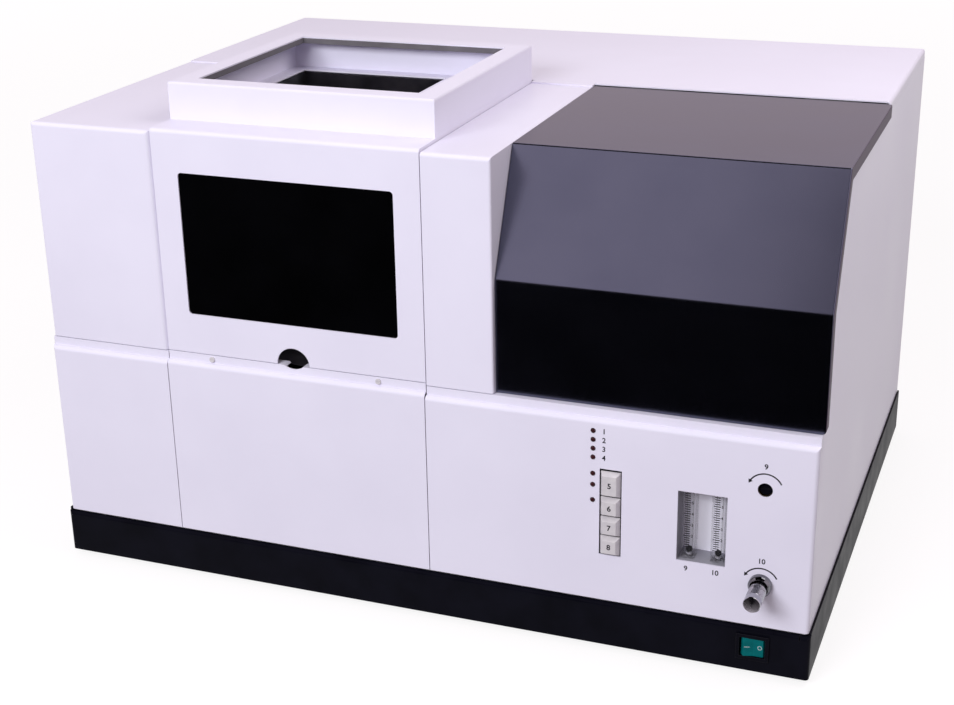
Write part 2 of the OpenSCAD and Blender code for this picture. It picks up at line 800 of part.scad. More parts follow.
// Narrow column between the hood and the lamp cover
module column_body(d) {
    over = d > 0 ? cut : 0;
    lo = [x_hood + seam / 2 + d, upper_y + d, control_seam_z + seam / 2 - over];
    hi = [x_column - d, edge_y + over, cabinet_top - d];
    r = bend_r - d;
    intersection() {
        prism_z(lo.z, hi.z) rounded_rect([lo.x, lo.y], [hi.x, hi.y], [0, collar_r - d, 0, 0]);
        prism_x(lo.x, hi.x) rounded_rect([lo.y, lo.z], [hi.y, hi.z], [0, 0, 0, r]);
    }
}

module optics_column() {
    color(paint) difference() {
        column_body(0);
        column_body(sheet);
        bar_x([x_hood, beam_y, beam_z], column_w + cut, barrel_d + 2 * barrel_gap);
    }
}

// Lower panels: front, rounded shoulder, lip and top return, drawn inwards by d
module lower_outline(d, top, far) {
    shoulder_z = top - lip_h - step_back;
    low = panel_low - (d > 0 ? cut : 0);
    translate([front_y + d, low]) square([far - front_y - d, shoulder_z - low]);
    translate([upper_y, shoulder_z]) circle(step_back - d);
    translate([upper_y + d, shoulder_z - cut]) square([far - upper_y - d, top - d - shoulder_z + cut]);
}

module lower_body(d, x0, x1, top, left_r, right_r) {
    far = upper_y + return_d + (d > 0 ? cut : 0);
    inner_left = left_r > 0 ? d : -d * cut;
    inner_right = right_r > 0 ? d : -d * cut;
    intersection() {
        prism_x(x0 + inner_left, x1 - inner_right) lower_outline(d, top, far);
        prism_z(panel_low - cut, top) rounded_rect([x0 + inner_left, front_y + d], [x1 - inner_right, far],
            [max(left_r - d, 0), max(right_r - d, 0), 0, 0]);
    }
}

// A lower panel with a bend and a short return at an outer end
module lower_panel(x0, x1, top, left_r, right_r) {
    difference() {
        lower_body(0, x0, x1, top, left_r, right_r);
        lower_body(sheet, x0, x1, top, left_r, right_r);
        if (left_r > 0)
            block([x0 - cut, front_y + return_d, panel_low - cut], [x0 + sheet, rear_y, top + cut]);
        if (right_r > 0)
            block([x1 - sheet, front_y + return_d, panel_low - cut], [x1 + cut, rear_y, top + cut]);
    }
}

module lower_left_panel() {
    color(paint) lower_panel(-half_w, x_left - seam / 2, left_seam_z - seam / 2, bend_r, 0);
}

lip_screw_places = [for (x = [hood_x0 + lip_screw_in, hood_x1 - lip_screw_in])
    [x, hood_seam_z - seam / 2 - lip_h / 2]];

module lower_middle_panel() {
    color(paint) difference() {
        lower_panel(hood_x0, hood_x1, hood_seam_z - seam / 2, 0, 0);
        // Shallow arc that carries on the finger notch
        bar_y([hood_mid, upper_y - cut, hood_seam_z + notch_r - notch_low], return_d + 2 * cut, 2 * notch_r);
        for (p = lip_screw_places)
            bar_y([p.x, upper_y - cut, p.y], sheet + 2 * cut, screw_d + 2 * spindle_play);
    }
}

module control_panel() {
    color(paint) difference() {
        lower_panel(x_hood + seam / 2, half_w, control_top, 0, bend_r);
        for (z = led_heights) bar_y([led_x, front_y - cut, z], sheet + 2 * cut, led_d + 2 * led_gap);
        block([slot_x - slot_w / 2, front_y - cut, slot_low],
            [slot_x + slot_w / 2, panel_in + cut, slot_top]);
        block([flow_x - flow_w / 2, front_y - cut, flow_z - flow_h / 2],
            [flow_x + flow_w / 2, panel_in + cut, flow_z + flow_h / 2]);
        bar_y([valve_x, front_y - cut, adjuster_z], sheet + 2 * cut, adjuster_hole_d);
        bar_y([valve_x, front_y - cut, valve_z], sheet + 2 * cut, neck_d + 2 * led_gap);
    }
}

// A pan-head screw whose head rests on y = 0 and whose shank runs to the back
module screw() {
    rotate([90, 0, 0]) difference() {
        union() {
            cylinder(h = screw_head_h, d = screw_head_d);
            translate([0, 0, -4 * sheet]) cylinder(h = 4 * sheet + screw_head_h / 2, d = screw_d);
        }
        translate([-screw_head_d, -0.4, screw_head_h * 0.6]) cube([2 * screw_head_d, 0.8, screw_head_h]);
    }
}

module panel_screws() {
    color(steel) {
        for (p = lip_screw_places) translate([p.x, upper_y, p.y]) screw();
        for (p = rear_screw_places) translate([p.x, rear_y, p.y]) rotate([0, 0, 180]) screw();
    }
}

// Hinge

// A hinge knuckle round the hinge line, with a web to y_to between two heights
module knuckle(x, l, y_to, z0, z1) {
    difference() {
        union() {
            bar_x([x - l / 2, hinge_y, hinge_z], l, knuckle_d);
            block([x - l / 2, min(y_to, hinge_y), z0], [x + l / 2, max(y_to, hinge_y), z1]);
        }
        bar_x([x - l / 2 - cut, hinge_y, hinge_z], l + 2 * cut, rod_d + 2 * hinge_play);
    }
}

module hinge_rail() {
    top = rear_top - sheet;
    // Its ends clear the bends of the rear top
    end_x = side_in - bend_r;
    color(steel) union() {
        block([-end_x, rail_y, top - rail_h], [end_x, rail_y + rail_t, top]);
        block([-end_x, rail_y, top - rail_t], [end_x, rail_y + rail_flange, top]);
        for (x = concat(hood_stations, cover_stations), side = [-1, 1])
            knuckle(x + side * (knuckle_l / 2 + knuckle_gap + fixed_knuckle_l / 2), fixed_knuckle_l,
                rail_y + rail_t / 2, hinge_z - knuckle_d / 2, hinge_z);
    }
}

module hinge_rod() {
    over = knuckle_l / 2 + knuckle_gap + fixed_knuckle_l + 5;
    color([0.75, 0.76, 0.78]) bar_x([hood_stations[0] - over, hinge_y, hinge_z],
        cover_stations[1] - hood_stations[0] + 2 * over, rod_d);
}

// Burner hood: front, ledge and collar of welded sheet, with a floor inside the collar
module hood_body(d) {
    low = hood_low - (d > 0 ? cut : 0);
    intersection() {
        prism_x(hood_x0 + d, hood_x1 - d) union() {
            rounded_rect([upper_y + d, low], [edge_y - d, ledge_z - d], [0, 0, 0, bend_r - d]);
            rounded_rect([collar_y + d, low], [edge_y - d, collar_top - d],
                [0, 0, collar_r - d, collar_r - d]);
        }
        prism_y(upper_y, edge_y)
            rounded_rect([hood_x0 + d, low], [hood_x1 - d, collar_top - d],
                [0, 0, collar_r - d, collar_r - d]);
    }
}

module burner_hood() {
    color(paint) {
        difference() {
            hood_body(0);
            difference() {
                hood_body(sheet);
                block([hood_x0, collar_y, ledge_z - sheet], [hood_x1, edge_y, ledge_z]);
            }
            block([burner_x - flue_w / 2, flue_y0, ledge_z - sheet - cut],
                [burner_x + flue_w / 2, flue_y1, ledge_z + cut]);
            block([hood_x0 - cut, upper_y + return_d - step_back, hood_low - cut],
                [hood_x1 + cut, edge_y + cut, cabinet_top - hood_skirt]);
            block([hood_x0 + collar_flange, collar_y + collar_flange, collar_top - sheet - cut],
                [hood_x1 - collar_flange, edge_y - collar_flange, collar_top + cut]);
            prism_y(upper_y - cut, upper_y + sheet + cut)
                rounded_rect([hood_mid - window_w / 2, window_z - window_h / 2],
                    [hood_mid + window_w / 2, window_z + window_h / 2], window_r * [1, 1, 1, 1]);
            bar_y([hood_mid, upper_y - cut, hood_low], sheet + 2 * cut, 2 * notch_r);
        }
        for (x = hood_stations)
            knuckle(x, knuckle_l, edge_y - sheet / 2, hinge_z - 1, hinge_z + 1);
    }
}

module hood_window() {
    color([0.03, 0.03, 0.05])
        block([hood_mid - window_w / 2 - pane_lap, upper_y + sheet, window_z - window_h / 2 - pane_lap],
            [hood_mid + window_w / 2 + pane_lap, upper_y + sheet + pane_t,
                window_z + window_h / 2 + pane_lap]);
}

module chimney_trim() {
    lo = [hood_x0 + collar_flange, collar_y + collar_flange, collar_top - sheet - trim_h];
    hi = [hood_x1 - collar_flange, edge_y - collar_flange, collar_top - sheet];
    color([0.35, 0.35, 0.37]) difference() {
        block(lo - trim_t * [1, 1, 0], hi + trim_t * [1, 1, 0]);
        block(lo - [0, 0, cut], hi + [0, 0, cut]);
    }
}

module lamp_cover() {
    color(black) {
        difference() {
            prism_x(cover_x0, cover_x1) polygon(cover_outline(0, cover_low, edge_y));
            prism_x(cover_x0 - cut, cover_x1 - cover_t)
                polygon(cover_outline(cover_t, cover_low - cut, edge_y + cut));
            prism_x(cover_x1 - cover_t - cut, cover_x1 + cut)
                polygon(cover_outline(cover_lip, cover_low - cut, edge_y + cut));
        }
        for (x = cover_stations)
            knuckle(x, knuckle_l, edge_y - 10, hinge_z - 1, cabinet_top - cover_t / 2);
    }
}

// Burner

module burner_chamber() {
    color(steel) difference() {
        union() {
            difference() {
                block([chamber_x0, chamber_y0, plate_top], [chamber_x1, chamber_y1, chamber_top]);
                block([chamber_x0 + chamber_t, chamber_y0 - cut, plate_top - cut],
                    [chamber_x1 - chamber_t, chamber_y1 - chamber_t, chamber_top + cut]);
            }
            block([chamber_x0, chamber_y0, shelf_z], [chamber_x1, chamber_y1, shelf_top]);
        }
        bar_x([chamber_x0 - cut, beam_y, beam_z], chamber_x1 - chamber_x0 + 2 * cut,
            barrel_d + 2 * barrel_gap);
        bar_z([burner_x, beam_y, shelf_z - cut], chamber_t + 2 * cut, drain_d + 20);
    }
}

module burner_post() {
    color(steel) block([burner_x - post_w / 2, post_y0, shelf_top],
        [burner_x + post_w / 2, post_y0 + post_d, shelf_top + post_h]);
}

module burner_carriage() {
    half = post_w / 2 + post_gap + carriage_wall;
    color(cast) difference() {
        block([burner_x - half, carriage_y0, carriage_low],
            [burner_x + half, post_y0 + post_d + post_gap + carriage_wall, carriage_low + carriage_h]);
        block([burner_x - post_w / 2 - post_gap, post_y0 - post_gap, carriage_low - cut],
            [burner_x + post_w / 2 + post_gap, post_y0 + post_d + post_gap, carriage_low + carriage_h + cut]);
    }
}

module spray_chamber() {
    wall = 4;
    flange = 6;
    color([0.85, 0.85, 0.82]) difference() {
        union() {
            bar_y([burner_x, spray_y0, spray_z], spray_l, spray_d);
            bar_y([burner_x, spray_y0, spray_z], flange, spray_d + 2 * flange);
            bar_z([burner_x, beam_y, spray_z], neck_top - spray_z, spray_neck_d);
            bar_z([burner_x, beam_y, spray_z - spray_d / 2 - 8], spray_d / 2 + 8, drain_d);
        }
        bar_y([burner_x, spray_y0 + flange, spray_z], spray_l - 2 * flange, spray_d - 2 * wall);
        bar_z([burner_x, beam_y, spray_z], neck_top - spray_z + cut, tail_d + 2 * spindle_play);
        bar_z([burner_x, beam_y, spray_z - spray_d / 2 - 8 - cut], spray_d / 2 + 8, drain_d / 2);
        bar_y([burner_x, spray_y0 - cut, spray_z], flange + 2 * cut, 6);
    }
}

module nebulizer() {
    nut_l = 12;
    tip_l = 16;
    color(steel) union() {
        bar_y([burner_x, spray_y0 - nebulizer_l, spray_z], nebulizer_l, nebulizer_d);
        bar_y([burner_x, spray_y0 - nebulizer_l - nut_l, spray_z], nut_l, nebulizer_d * 0.7);
        bar_y([burner_x, spray_y0 - nebulizer_l - nut_l - tip_l, spray_z], tip_l, 3);
        bar_x([burner_x, spray_y0 - nebulizer_l / 2, spray_z], nebulizer_d / 2 + 18, 9);
    }
}

module burner_head() {
    slot_l = head_l - 10;
    taper = head_w / 4;
    color([0.45, 0.45, 0.47]) translate([burner_x, beam_y, 0]) difference() {
        union() {
            prism_x(-head_l / 2, head_l / 2) polygon([[-head_w / 2, head_low], [head_w / 2, head_low],
                [head_w / 2, burner_top - taper], [taper, burner_top], [-taper, burner_top],
                [-head_w / 2, burner_top - taper]]);
            bar_z([0, 0, spray_z + spray_d / 4], head_low - spray_z - spray_d / 4 + cut, tail_d);
        }
        block([-slot_l / 2, -burner_slot / 2, burner_top - head_h * 0.6],
            [slot_l / 2, burner_slot / 2, burner_top + cut]);
    }
}

// Lamps

module lamp_tray() {
    color(steel) union() {
        block([x_column, tray_y0, tray_z], [side_in, tray_y1, tray_top]);
        block([x_column, tray_y0, control_top], [side_in, tray_y0 + sheet, tray_top]);
        block([x_column, tray_y1 - sheet, plate_top], [side_in, tray_y1, cabinet_top - 20]);
    }
}

module turret_motor() {
    boss_l = 12;
    color([0.25, 0.25, 0.27]) difference() {
        union() {
            block([bracket_x, beam_y - motor_size, tray_top],
                [bracket_x + bracket_t, beam_y + motor_size, turret_z + motor_size / 2]);
            block([bracket_x, beam_y - motor_size / 2, turret_z - motor_size / 2],
                [bracket_x + bracket_t + motor_l, beam_y + motor_size / 2, turret_z + motor_size / 2]);
        }
        bar_x([bracket_x - cut, beam_y, turret_z], bracket_t + boss_l + cut,
            turret_shaft_d + 2 * spindle_play);
    }
}

// Runs its children once at each lamp's place on the turret
module at_lamps() {
    for (i = [0:5])
        translate([0, beam_y, turret_z]) rotate([i * 60, 0, 0]) translate([0, 0, turret_r]) children();
}

module lamp_turret() {
    shaft_x0 = front_disc_x - 8;
    color(cast) difference() {
        union() {
            bar_x([front_disc_x, beam_y, turret_z], disc_t, 2 * disc_r);
            bar_x([rear_disc_x, beam_y, turret_z], disc_t, 2 * disc_r);
            bar_x([shaft_x0, beam_y, turret_z], bracket_x + bracket_t + 10 - shaft_x0, turret_shaft_d);
        }
        at_lamps() bar_x([front_disc_x - cut, 0, 0], disc_t + 2 * cut, lamp_d + 2 * lamp_gap);
    }
}

module lamp_envelopes() {
    color([0.85, 0.9, 0.9, 0.5]) at_lamps() difference() {
        bar_x([lamp_x0, 0, 0], lamp_l, lamp_d);
        bar_x([lamp_x0 + 2 * glass_t, 0, 0], lamp_l, lamp_d - 2 * glass_t);
    }
}

module lamp_bases() {
    cathode_d = 12;
    color(black) at_lamps() union() {
        bar_x([lamp_base_x, 0, 0], lamp_base_l, lamp_d - 2);
        bar_x([lamp_base_x - lamp_l * 0.6, 0, 0], lamp_l * 0.6 + cut, 3);
        bar_x([lamp_base_x - lamp_l * 0.6 - 20, 0, 0], 24, cathode_d);
    }
}

// Optics

// A lens barrel along X from x0, with its flange's face at flange_x
module lens_barrel(x0, l, flange_x) {
    difference() {
        union() {
            bar_x([x0, beam_y, beam_z], l, barrel_d);
            bar_x([flange_x, beam_y, beam_z], barrel_flange_t, barrel_flange_d);
        }
        bar_x([x0 - cut, beam_y, beam_z], l / 2 - lens_t / 2 + cut, barrel_d - 2 * barrel_wall);
        bar_x([x0 + l / 2 + lens_t / 2, beam_y, beam_z], l / 2 + cut, barrel_d - 2 * barrel_wall);
    }
}

module lens_barrels() {
    color(black) {
        lens_barrel(x_hood - 10, column_w + 14, x_hood + seam / 2 - barrel_flange_t);
        lens_barrel(chamber_x0 - 30, 40, chamber_x0 - barrel_flange_t);
    }
}

// A plate mirror on a round post that stands on the deck
module mirror_on_post(x, y, turn) {
    plate = 40;
    translate([x, y, 0]) {
        bar_z([0, 0, deck_top], beam_z - plate / 2 - deck_top, 16);
        rotate([0, 0, turn]) block([-plate / 2, -4, beam_z - plate / 2 - 4],
            [plate / 2, 4, beam_z + plate / 2]);
    }
}

module mirrors() {
    color([0.8, 0.82, 0.85]) {
        mirror_on_post(slit_x, beam_y, 45);
        mirror_on_post(slit_x, mirror_y, 8);
        mirror_on_post(exit_x, mirror_y, -8);
    }
}

module monochromator_body() {
    slit = 3;
    leg_places = [[mono_x0 + leg_in, arm_y0 + leg_in], [arm_x1 - leg_in, arm_y0 + leg_in],
        [mono_x0 + leg_in, mono_y1 - leg_in], [mono_x0 + mono_w - leg_in, mono_y1 - leg_in],
        [mono_x0 + mono_w - leg_in, mono_y0 + leg_in]];
    color(cast) difference() {
        union() {
            block([mono_x0, arm_y0, deck_z], [arm_x1, mono_y0 + cut, deck_top]);
            block([mono_x0, mono_y0, deck_z], [mono_x0 + mono_w, mono_y1, mono_top]);
            for (p = leg_places) bar_z([p.x, p.y, plate_top], deck_z - plate_top + cut, leg_d);
            bar_z([grating_x, grating_y, deck_z], deck_t + 16, 8);
        }
        difference() {
            block([mono_x0 + mono_wall, mono_y0 + mono_wall, deck_top],
                [mono_x0 + mono_w - mono_wall, mono_y1 - mono_wall, mono_top + cut]);
            bar_z([grating_x, grating_y, deck_z], deck_t + 16, 8);
        }
        for (x = [slit_x, exit_x])
            block([x - slit / 2, mono_y0 - cut, beam_z - 10],
                [x + slit / 2, mono_y0 + mono_wall + cut, beam_z + 10]);
    }
}

module monochromator_lid() {
    color(cast) block([mono_x0, mono_y0, mono_top], [mono_x0 + mono_w, mono_y1, mono_top + lid_t]);
}

module grating_table() {
    grating = 36;
    color(steel) translate([grating_x, grating_y, deck_top + 0.3]) difference() {
        union() {
            cylinder(h = 14, d = grating_d);
            block([-grating / 2, -6, 14 - cut], [grating / 2, 6, beam_z - deck_top + grating / 2]);
        }
        translate([0, 0, -cut]) cylinder(h = 20 + cut, d = 8 + 2 * spindle_play);
    }
}

module detector_tube() {
    color(black) difference() {
        bar_y([exit_x, mono_y0 - detector_l, beam_z], detector_l, detector_d);
        bar_y([exit_x, mono_y0 - detector_l + 6, beam_z], detector_l, detector_d - 12);
    }
}

// Electrics

module power_supply() {
    vents = 7;
    vent_pitch = supply_w / (vents + 1.5);
    margin = supply_h * 0.22;
    lo = [-side_in + supply_in, mono_y0 + supply_back, plate_top];
    hi = lo + [supply_w, supply_d, supply_h];
    color(steel) difference() {
        block(lo, hi);
        for (i = [1:vents])
            block([lo.x + i * vent_pitch, lo.y - cut, lo.z + margin],
                [lo.x + (i + 0.4) * vent_pitch, lo.y + 4, hi.z - margin]);
    }
}

module main_board() {
    spacer_d = board_w / 27.5;
    chip = board_w / 9;
    chips = 5;
    chip_pitch = (board_w - 2 * spacer_d - chip) / chips;
    connector_d = board_d / 5;
    lo = [side_in - board_in - board_w, mono_y0 + board_back, plate_top + board_up];
    hi = lo + [board_w, board_d, board_t];
    color(board_green) union() {
        block(lo, hi);
        for (x = [lo.x + spacer_d, hi.x - spacer_d], y = [lo.y + spacer_d, hi.y - spacer_d])
            bar_z([x, y, plate_top], board_up + cut, spacer_d);
        for (i = [0:chips - 1])
            translate([lo.x + 2.5 * spacer_d + i * chip_pitch, lo.y + chip, hi.z - cut])
                cube([chip, chip, chip / 6 + cut]);
        block([lo.x + chip, hi.y - 2 * connector_d, hi.z - cut],
            [hi.x - chip, hi.y - connector_d, hi.z + connector_d * 0.8]);
    }
}

module fan_frame() {
    bore = fan_size - 6;
    spoke = 5;
    color(black) difference() {
        union() {
            difference() {
                block([fan_x - fan_size / 2, fan_y0, fan_z - fan_size / 2],
                    [fan_x + fan_size / 2, rear_y - sheet, fan_z + fan_size / 2]);
                bar_y([fan_x, fan_y0 - cut, fan_z], fan_d + 2 * cut, bore);
            }
            intersection() {
                bar_y([fan_x, fan_y0, fan_z], fan_d, bore + 2);
                for (turn = [45, 135]) translate([fan_x, 0, fan_z]) rotate([0, turn, 0])
                    block([-fan_size, fan_y0, -spoke / 2], [fan_size, fan_y0 + 3, spoke / 2]);
            }
            bar_y([fan_x, fan_y0, fan_z], 3, fan_hub_d);
            bar_y([fan_x, fan_y0, fan_z], fan_d - 5, 5);
        }
    }
}

module fan_rotor() {
    tip_d = fan_size - 9;
    rotor_y = fan_y0 + 4;
    rotor_l = fan_d - 7;
    color([0.15, 0.15, 0.16]) difference() {
        union() {
            bar_y([fan_x, rotor_y, fan_z], rotor_l, fan_hub_d);
            intersection() {
                bar_y([fan_x, rotor_y, fan_z], rotor_l, tip_d);
                for (i = [0:fan_blades - 1])
                    translate([fan_x, rotor_y + rotor_l / 2, fan_z]) rotate([0, i * 360 / fan_blades, 0])
                        rotate([40, 0, 0]) block([fan_hub_d / 4, -1, -rotor_l], [fan_size, 1, rotor_l]);
            }
        }
        bar_y([fan_x, rotor_y - cut, fan_z], rotor_l + 2 * cut, 5 + 2 * spindle_play);
    }
}

module mains_inlet() {
    fit = 0.2;
    flange = 5;
    depth = 30;
    color(black) difference() {
        union() {
            block([inlet_x - inlet_hw + fit, rear_y - depth, inlet_z - inlet_hh + fit],
                [inlet_x + inlet_hw - fit, rear_y + cut, inlet_z + inlet_hh - fit]);
            block([inlet_x - inlet_hw - flange, rear_y, inlet_z - inlet_hh - flange],
                [inlet_x + inlet_hw + flange, rear_y + 2.5, inlet_z + inlet_hh + flange]);
        }
        difference() {
            block([inlet_x - 12, rear_y - 16, inlet_z - 8.5],
                [inlet_x + 12, rear_y + 2 * flange, inlet_z + 8.5]);
            for (p = [[-7, -2], [0, 2], [7, -2]])
                block([inlet_x + p.x - 1, rear_y - 17, inlet_z + p.y - 2],
                    [inlet_x + p.x + 1, rear_y - 3, inlet_z + p.y + 2]);
        }
    }
}

module gas_inlets() {
    inner_nut_h = 6;
    color(brassy) for (x = gas_places) translate([x, rear_y, inlet_z]) {
        difference() {
            union() {
                rotate([-90, 0, 0]) cylinder(h = gas_hex_h, d = gas_hex_d, $fn = 6);
                bar_y([0, -sheet - shank_l, 0], sheet + shank_l + cut, shank_d);
                bar_y([0, gas_hex_h - cut, 0], spigot_l + cut, spigot_d);
            }
            bar_y([0, -sheet - shank_l - cut, 0], gas_hex_h + spigot_l + sheet + shank_l + 2 * cut,
                spigot_d / 2);
        }
        difference() {
            translate([0, -sheet - inner_nut_h, 0]) rotate([-90, 0, 0])
                cylinder(h = inner_nut_h, d = gas_hex_d - 2, $fn = 6);
            bar_y([0, -sheet - inner_nut_h - cut, 0], inner_nut_h + 2 * cut, shank_d + 2 * spindle_play);
        }
    }
}

// Gas

module gas_manifold() {
    pin_d = solenoid_d * 0.4;
    lo = [x_column + manifold_in, beam_y - manifold_d, plate_top];
    hi = lo + [manifold_w, manifold_d, manifold_h];
    color(steel) union() {
        block(lo, hi);
        for (i = [-1:1]) translate([(lo.x + hi.x) / 2 + i * solenoid_pitch, (lo.y + hi.y) / 2, hi.z - cut]) {
            cylinder(h = solenoid_h + cut, d = solenoid_d);
            cylinder(h = solenoid_h + pin_d, d = pin_d);
        }
    }
}

module gas_regulator() {
    neck_out = adjuster_hole_d + 8;
    color(brassy) difference() {
        union() {
            bar_y([valve_x, panel_in, adjuster_z], regulator_neck_l, neck_out);
            bar_y([valve_x, panel_in + regulator_neck_l - cut, adjuster_z], regulator_l, regulator_d);
        }
        bar_y([valve_x, panel_in - cut, adjuster_z], regulator_neck_l + cut, adjuster_hole_d);
        bar_y([valve_x, panel_in, adjuster_z], regulator_neck_l + stem_l + 4, spindle_d + 2 * spindle_play);
    }
}

module oxidant_adjuster() {
    color(black) difference() {
        union() {
            bar_y([valve_x, adjuster_face, adjuster_z], adjuster_l, adjuster_d);
            bar_y([valve_x, adjuster_face, adjuster_z],
                panel_in + regulator_neck_l + stem_l - adjuster_face, spindle_d);
        }
        block([valve_x - adjuster_d, adjuster_face - cut, adjuster_z - 1],
            [valve_x + adjuster_d, adjuster_face + 2, adjuster_z + 1]);
    }
}

module flowmeter_body() {
    end_wall = flow_wall + 2;
    color([0.8, 0.8, 0.83]) union() {
        difference() {
            block([flow_x - flow_w / 2 - flow_wall, panel_in, flow_z - flow_h / 2 - end_wall],
                [flow_x + flow_w / 2 + flow_wall, panel_in + flow_d + flow_wall,
                    flow_z + flow_h / 2 + end_wall]);
            block([flow_x - flow_w / 2, panel_in - cut, flow_z - flow_h / 2],
                [flow_x + flow_w / 2, panel_in + flow_d, flow_z + flow_h / 2]);
        }
        for (side = [-1, 1])
            bar_z([flow_x + side * tube_off, tube_y, tube_low - cut], stem_h + cut, 2 * float_r);
    }
}

module flow_tubes() {
    color([0.85, 0.9, 0.95, 0.4]) for (side = [-1, 1]) difference() {
        block([flow_x + side * tube_off - tube_w / 2, tube_y - tube_w / 2, tube_low],
            [flow_x + side * tube_off + tube_w / 2, tube_y + tube_w / 2, tube_low + flow_h]);
        bar_z([flow_x + side * tube_off, tube_y, tube_low - cut], flow_h + 2 * cut, tube_bore);
    }
}

// A ball float resting on its stem
module flow_float(x) { translate([x, tube_y, float_z]) sphere(float_r); }

module oxidant_float() { color([0.3, 0.3, 0.3]) flow_float(flow_x - tube_off); }

module fuel_float() { color(black) flow_float(flow_x + tube_off); }

module needle_valve() {
    // The ball that domes the nut passes through its rim and through the edge of its front
    rim_r = nut_d / 2;
    rim_h = nut_h * 0.6;
    nose_r = rim_r * 0.8;
    dome_back = (rim_r * rim_r + rim_h * rim_h - nose_r * nose_r - nut_h * nut_h) / (2 * (nut_h - rim_h));
    dome_r = norm([rim_r, rim_h + dome_back]);
    color([0.8, 0.8, 0.82]) {
        difference() {
            union() {
                block([valve_x - valve_body / 2, panel_in, valve_z - valve_body / 2],
                    [valve_x + valve_body / 2, panel_in + valve_body_l, valve_z + valve_body / 2]);
                bar_y([valve_x, front_y - neck_l, valve_z], neck_l + sheet + cut, neck_d);
            }
            bar_y([valve_x, front_y - neck_l - cut, valve_z], neck_l + sheet + valve_body_l - 6,
                spindle_d + 2 * spindle_play);
        }
        difference() {
            intersection() {
                bar_y([valve_x, front_y - nut_h, valve_z], nut_h, nut_d);
                translate([valve_x, front_y + dome_back, valve_z]) sphere(dome_r);
            }
            bar_y([valve_x, front_y - nut_h - cut, valve_z], nut_h + 2 * cut, neck_d + 2 * spindle_play);
        }
    }
}

module valve_knob() {
    chamfer = 1;
    color([0.8, 0.8, 0.82]) union() {
        bar_y([valve_x, knob_y + chamfer, valve_z], knob_l - chamfer, knob_d);
        translate([valve_x, knob_y, valve_z]) rotate([-90, 0, 0])
            cylinder(h = chamfer, d1 = knob_d - 2 * chamfer, d2 = knob_d);
        bar_y([valve_x, knob_y + chamfer, valve_z], panel_in + valve_body_l - 14 - knob_y, spindle_d);
    }
}

// A push button: a bevelled cap and a stem, in row i of the slot
module push_button(i) {
    w = slot_w / 2 - button_gap;
    z1 = button_top(i);
    z0 = z1 - button_heights[i];
    y0 = front_y - button_proud;
    y1 = panel_in + pocket_d - button_travel - 1;
    bevel_y = front_y + bevel_sink;
    color(cream) union() {
        intersection() {
            prism_x(slot_x - w, slot_x + w) polygon([[y1, z0], [y1, z1], [bevel_y, z1],
                [y0, z1 - button_bevel], [y0, z0 + button_bevel], [bevel_y, z0]]);
            prism_z(z0, z1) polygon([[slot_x - w, y1], [slot_x - w, bevel_y], [slot_x - w + button_bevel, y0],
                [slot_x + w - button_bevel, y0], [slot_x + w, bevel_y], [slot_x + w, y1]]);
        }
        bar_y([slot_x, y1 - cut, (z0 + z1) / 2], block_back - button_travel - 0.5 - y1 + cut, button_stem_d);
    }
}

module select_button() { push_button(0); }

module ignite_button() { push_button(1); }

module check_button() { push_button(2); }

module purge_button() { push_button(3); }

module button_block() {
    color(black) difference() {
        block([slot_x - slot_w / 2 - block_wall, panel_in, slot_low - block_wall],
            [slot_x + slot_w / 2 + block_wall, block_back, slot_top + block_wall]);
        block([slot_x - slot_w / 2, panel_in - cut, slot_low],
            [slot_x + slot_w / 2, panel_in + pocket_d, slot_top]);
        for (i = [0:3])
            bar_y([slot_x, panel_in, button_top(i) - button_heights[i] / 2], block_d + cut,
                button_stem_d + 2 * spindle_play);
    }
}

module indicator_lamps() {
    color([0.35, 0.03, 0.05]) for (z = led_heights) union() {
        bar_y([led_x, panel_in, z], block_d, led_d + 1);
        bar_y([led_x, front_y, z], sheet + cut, led_d);
        translate([led_x, front_y, z]) rotate([90, 0, 0])
            cylinder(h = led_proud, d1 = led_d, d2 = led_d * 0.6);
    }
}

module control_board() {
    color(board_green) block([led_x - 12, block_back, slot_low - 10],
        [slot_x + slot_w, block_back + board_t, led_z + 8]);
}

// Rocker switch in the plinth

module rocker_frame() {
    hx = switch_w / 2;
    hz = switch_h / 2;
    color(black) difference() {
        union() {
            block([rocker_x - hx, -plinth_hd - cut, rocker_z - hz],
                [rocker_x + hx, -plinth_hd + rocker_body_d, rocker_z + hz]);
            block([rocker_x - hx - bezel_lip, -plinth_hd - bezel_t, rocker_z - hz - bezel_lip],
                [rocker_x + hx + bezel_lip, -plinth_hd, rocker_z + hz + bezel_lip]);
        }
        block([rocker_x - rocker_r - rocker_gap, -plinth_hd - bezel_t - cut,
            rocker_z - rocker_h / 2 - rocker_gap],
            [rocker_x + rocker_r + rocker_gap, -plinth_hd + rocker_body_d - 3,
                rocker_z + rocker_h / 2 + rocker_gap]);
        bar_z([rocker_x, rocker_axis_y, rocker_z - hz + 0.3], switch_h - 0.6,
            rocker_pin_d + 2 * spindle_play);
    }
}

// The rocker rests with its right half pressed in
module rocker() {
    face = 8.5;
    dip = 1.8;
    pin_l = rocker_h + 2 * rocker_gap + rocker_wall;
    color([0.0, 0.45, 0.40])
    translate([rocker_x, rocker_axis_y, 0]) rotate([0, 0, rocker_swing / 2]) union() {
        prism_z(rocker_z - rocker_h / 2, rocker_z + rocker_h / 2) intersection() {
            circle(rocker_r);
            polygon([[-rocker_r, 3], [-rocker_r, -face], [0, -face + dip], [rocker_r, -face], [rocker_r, 3]]);
        }
        bar_z([0, 0, rocker_z - pin_l / 2], pin_l, rocker_pin_d);
    }
}

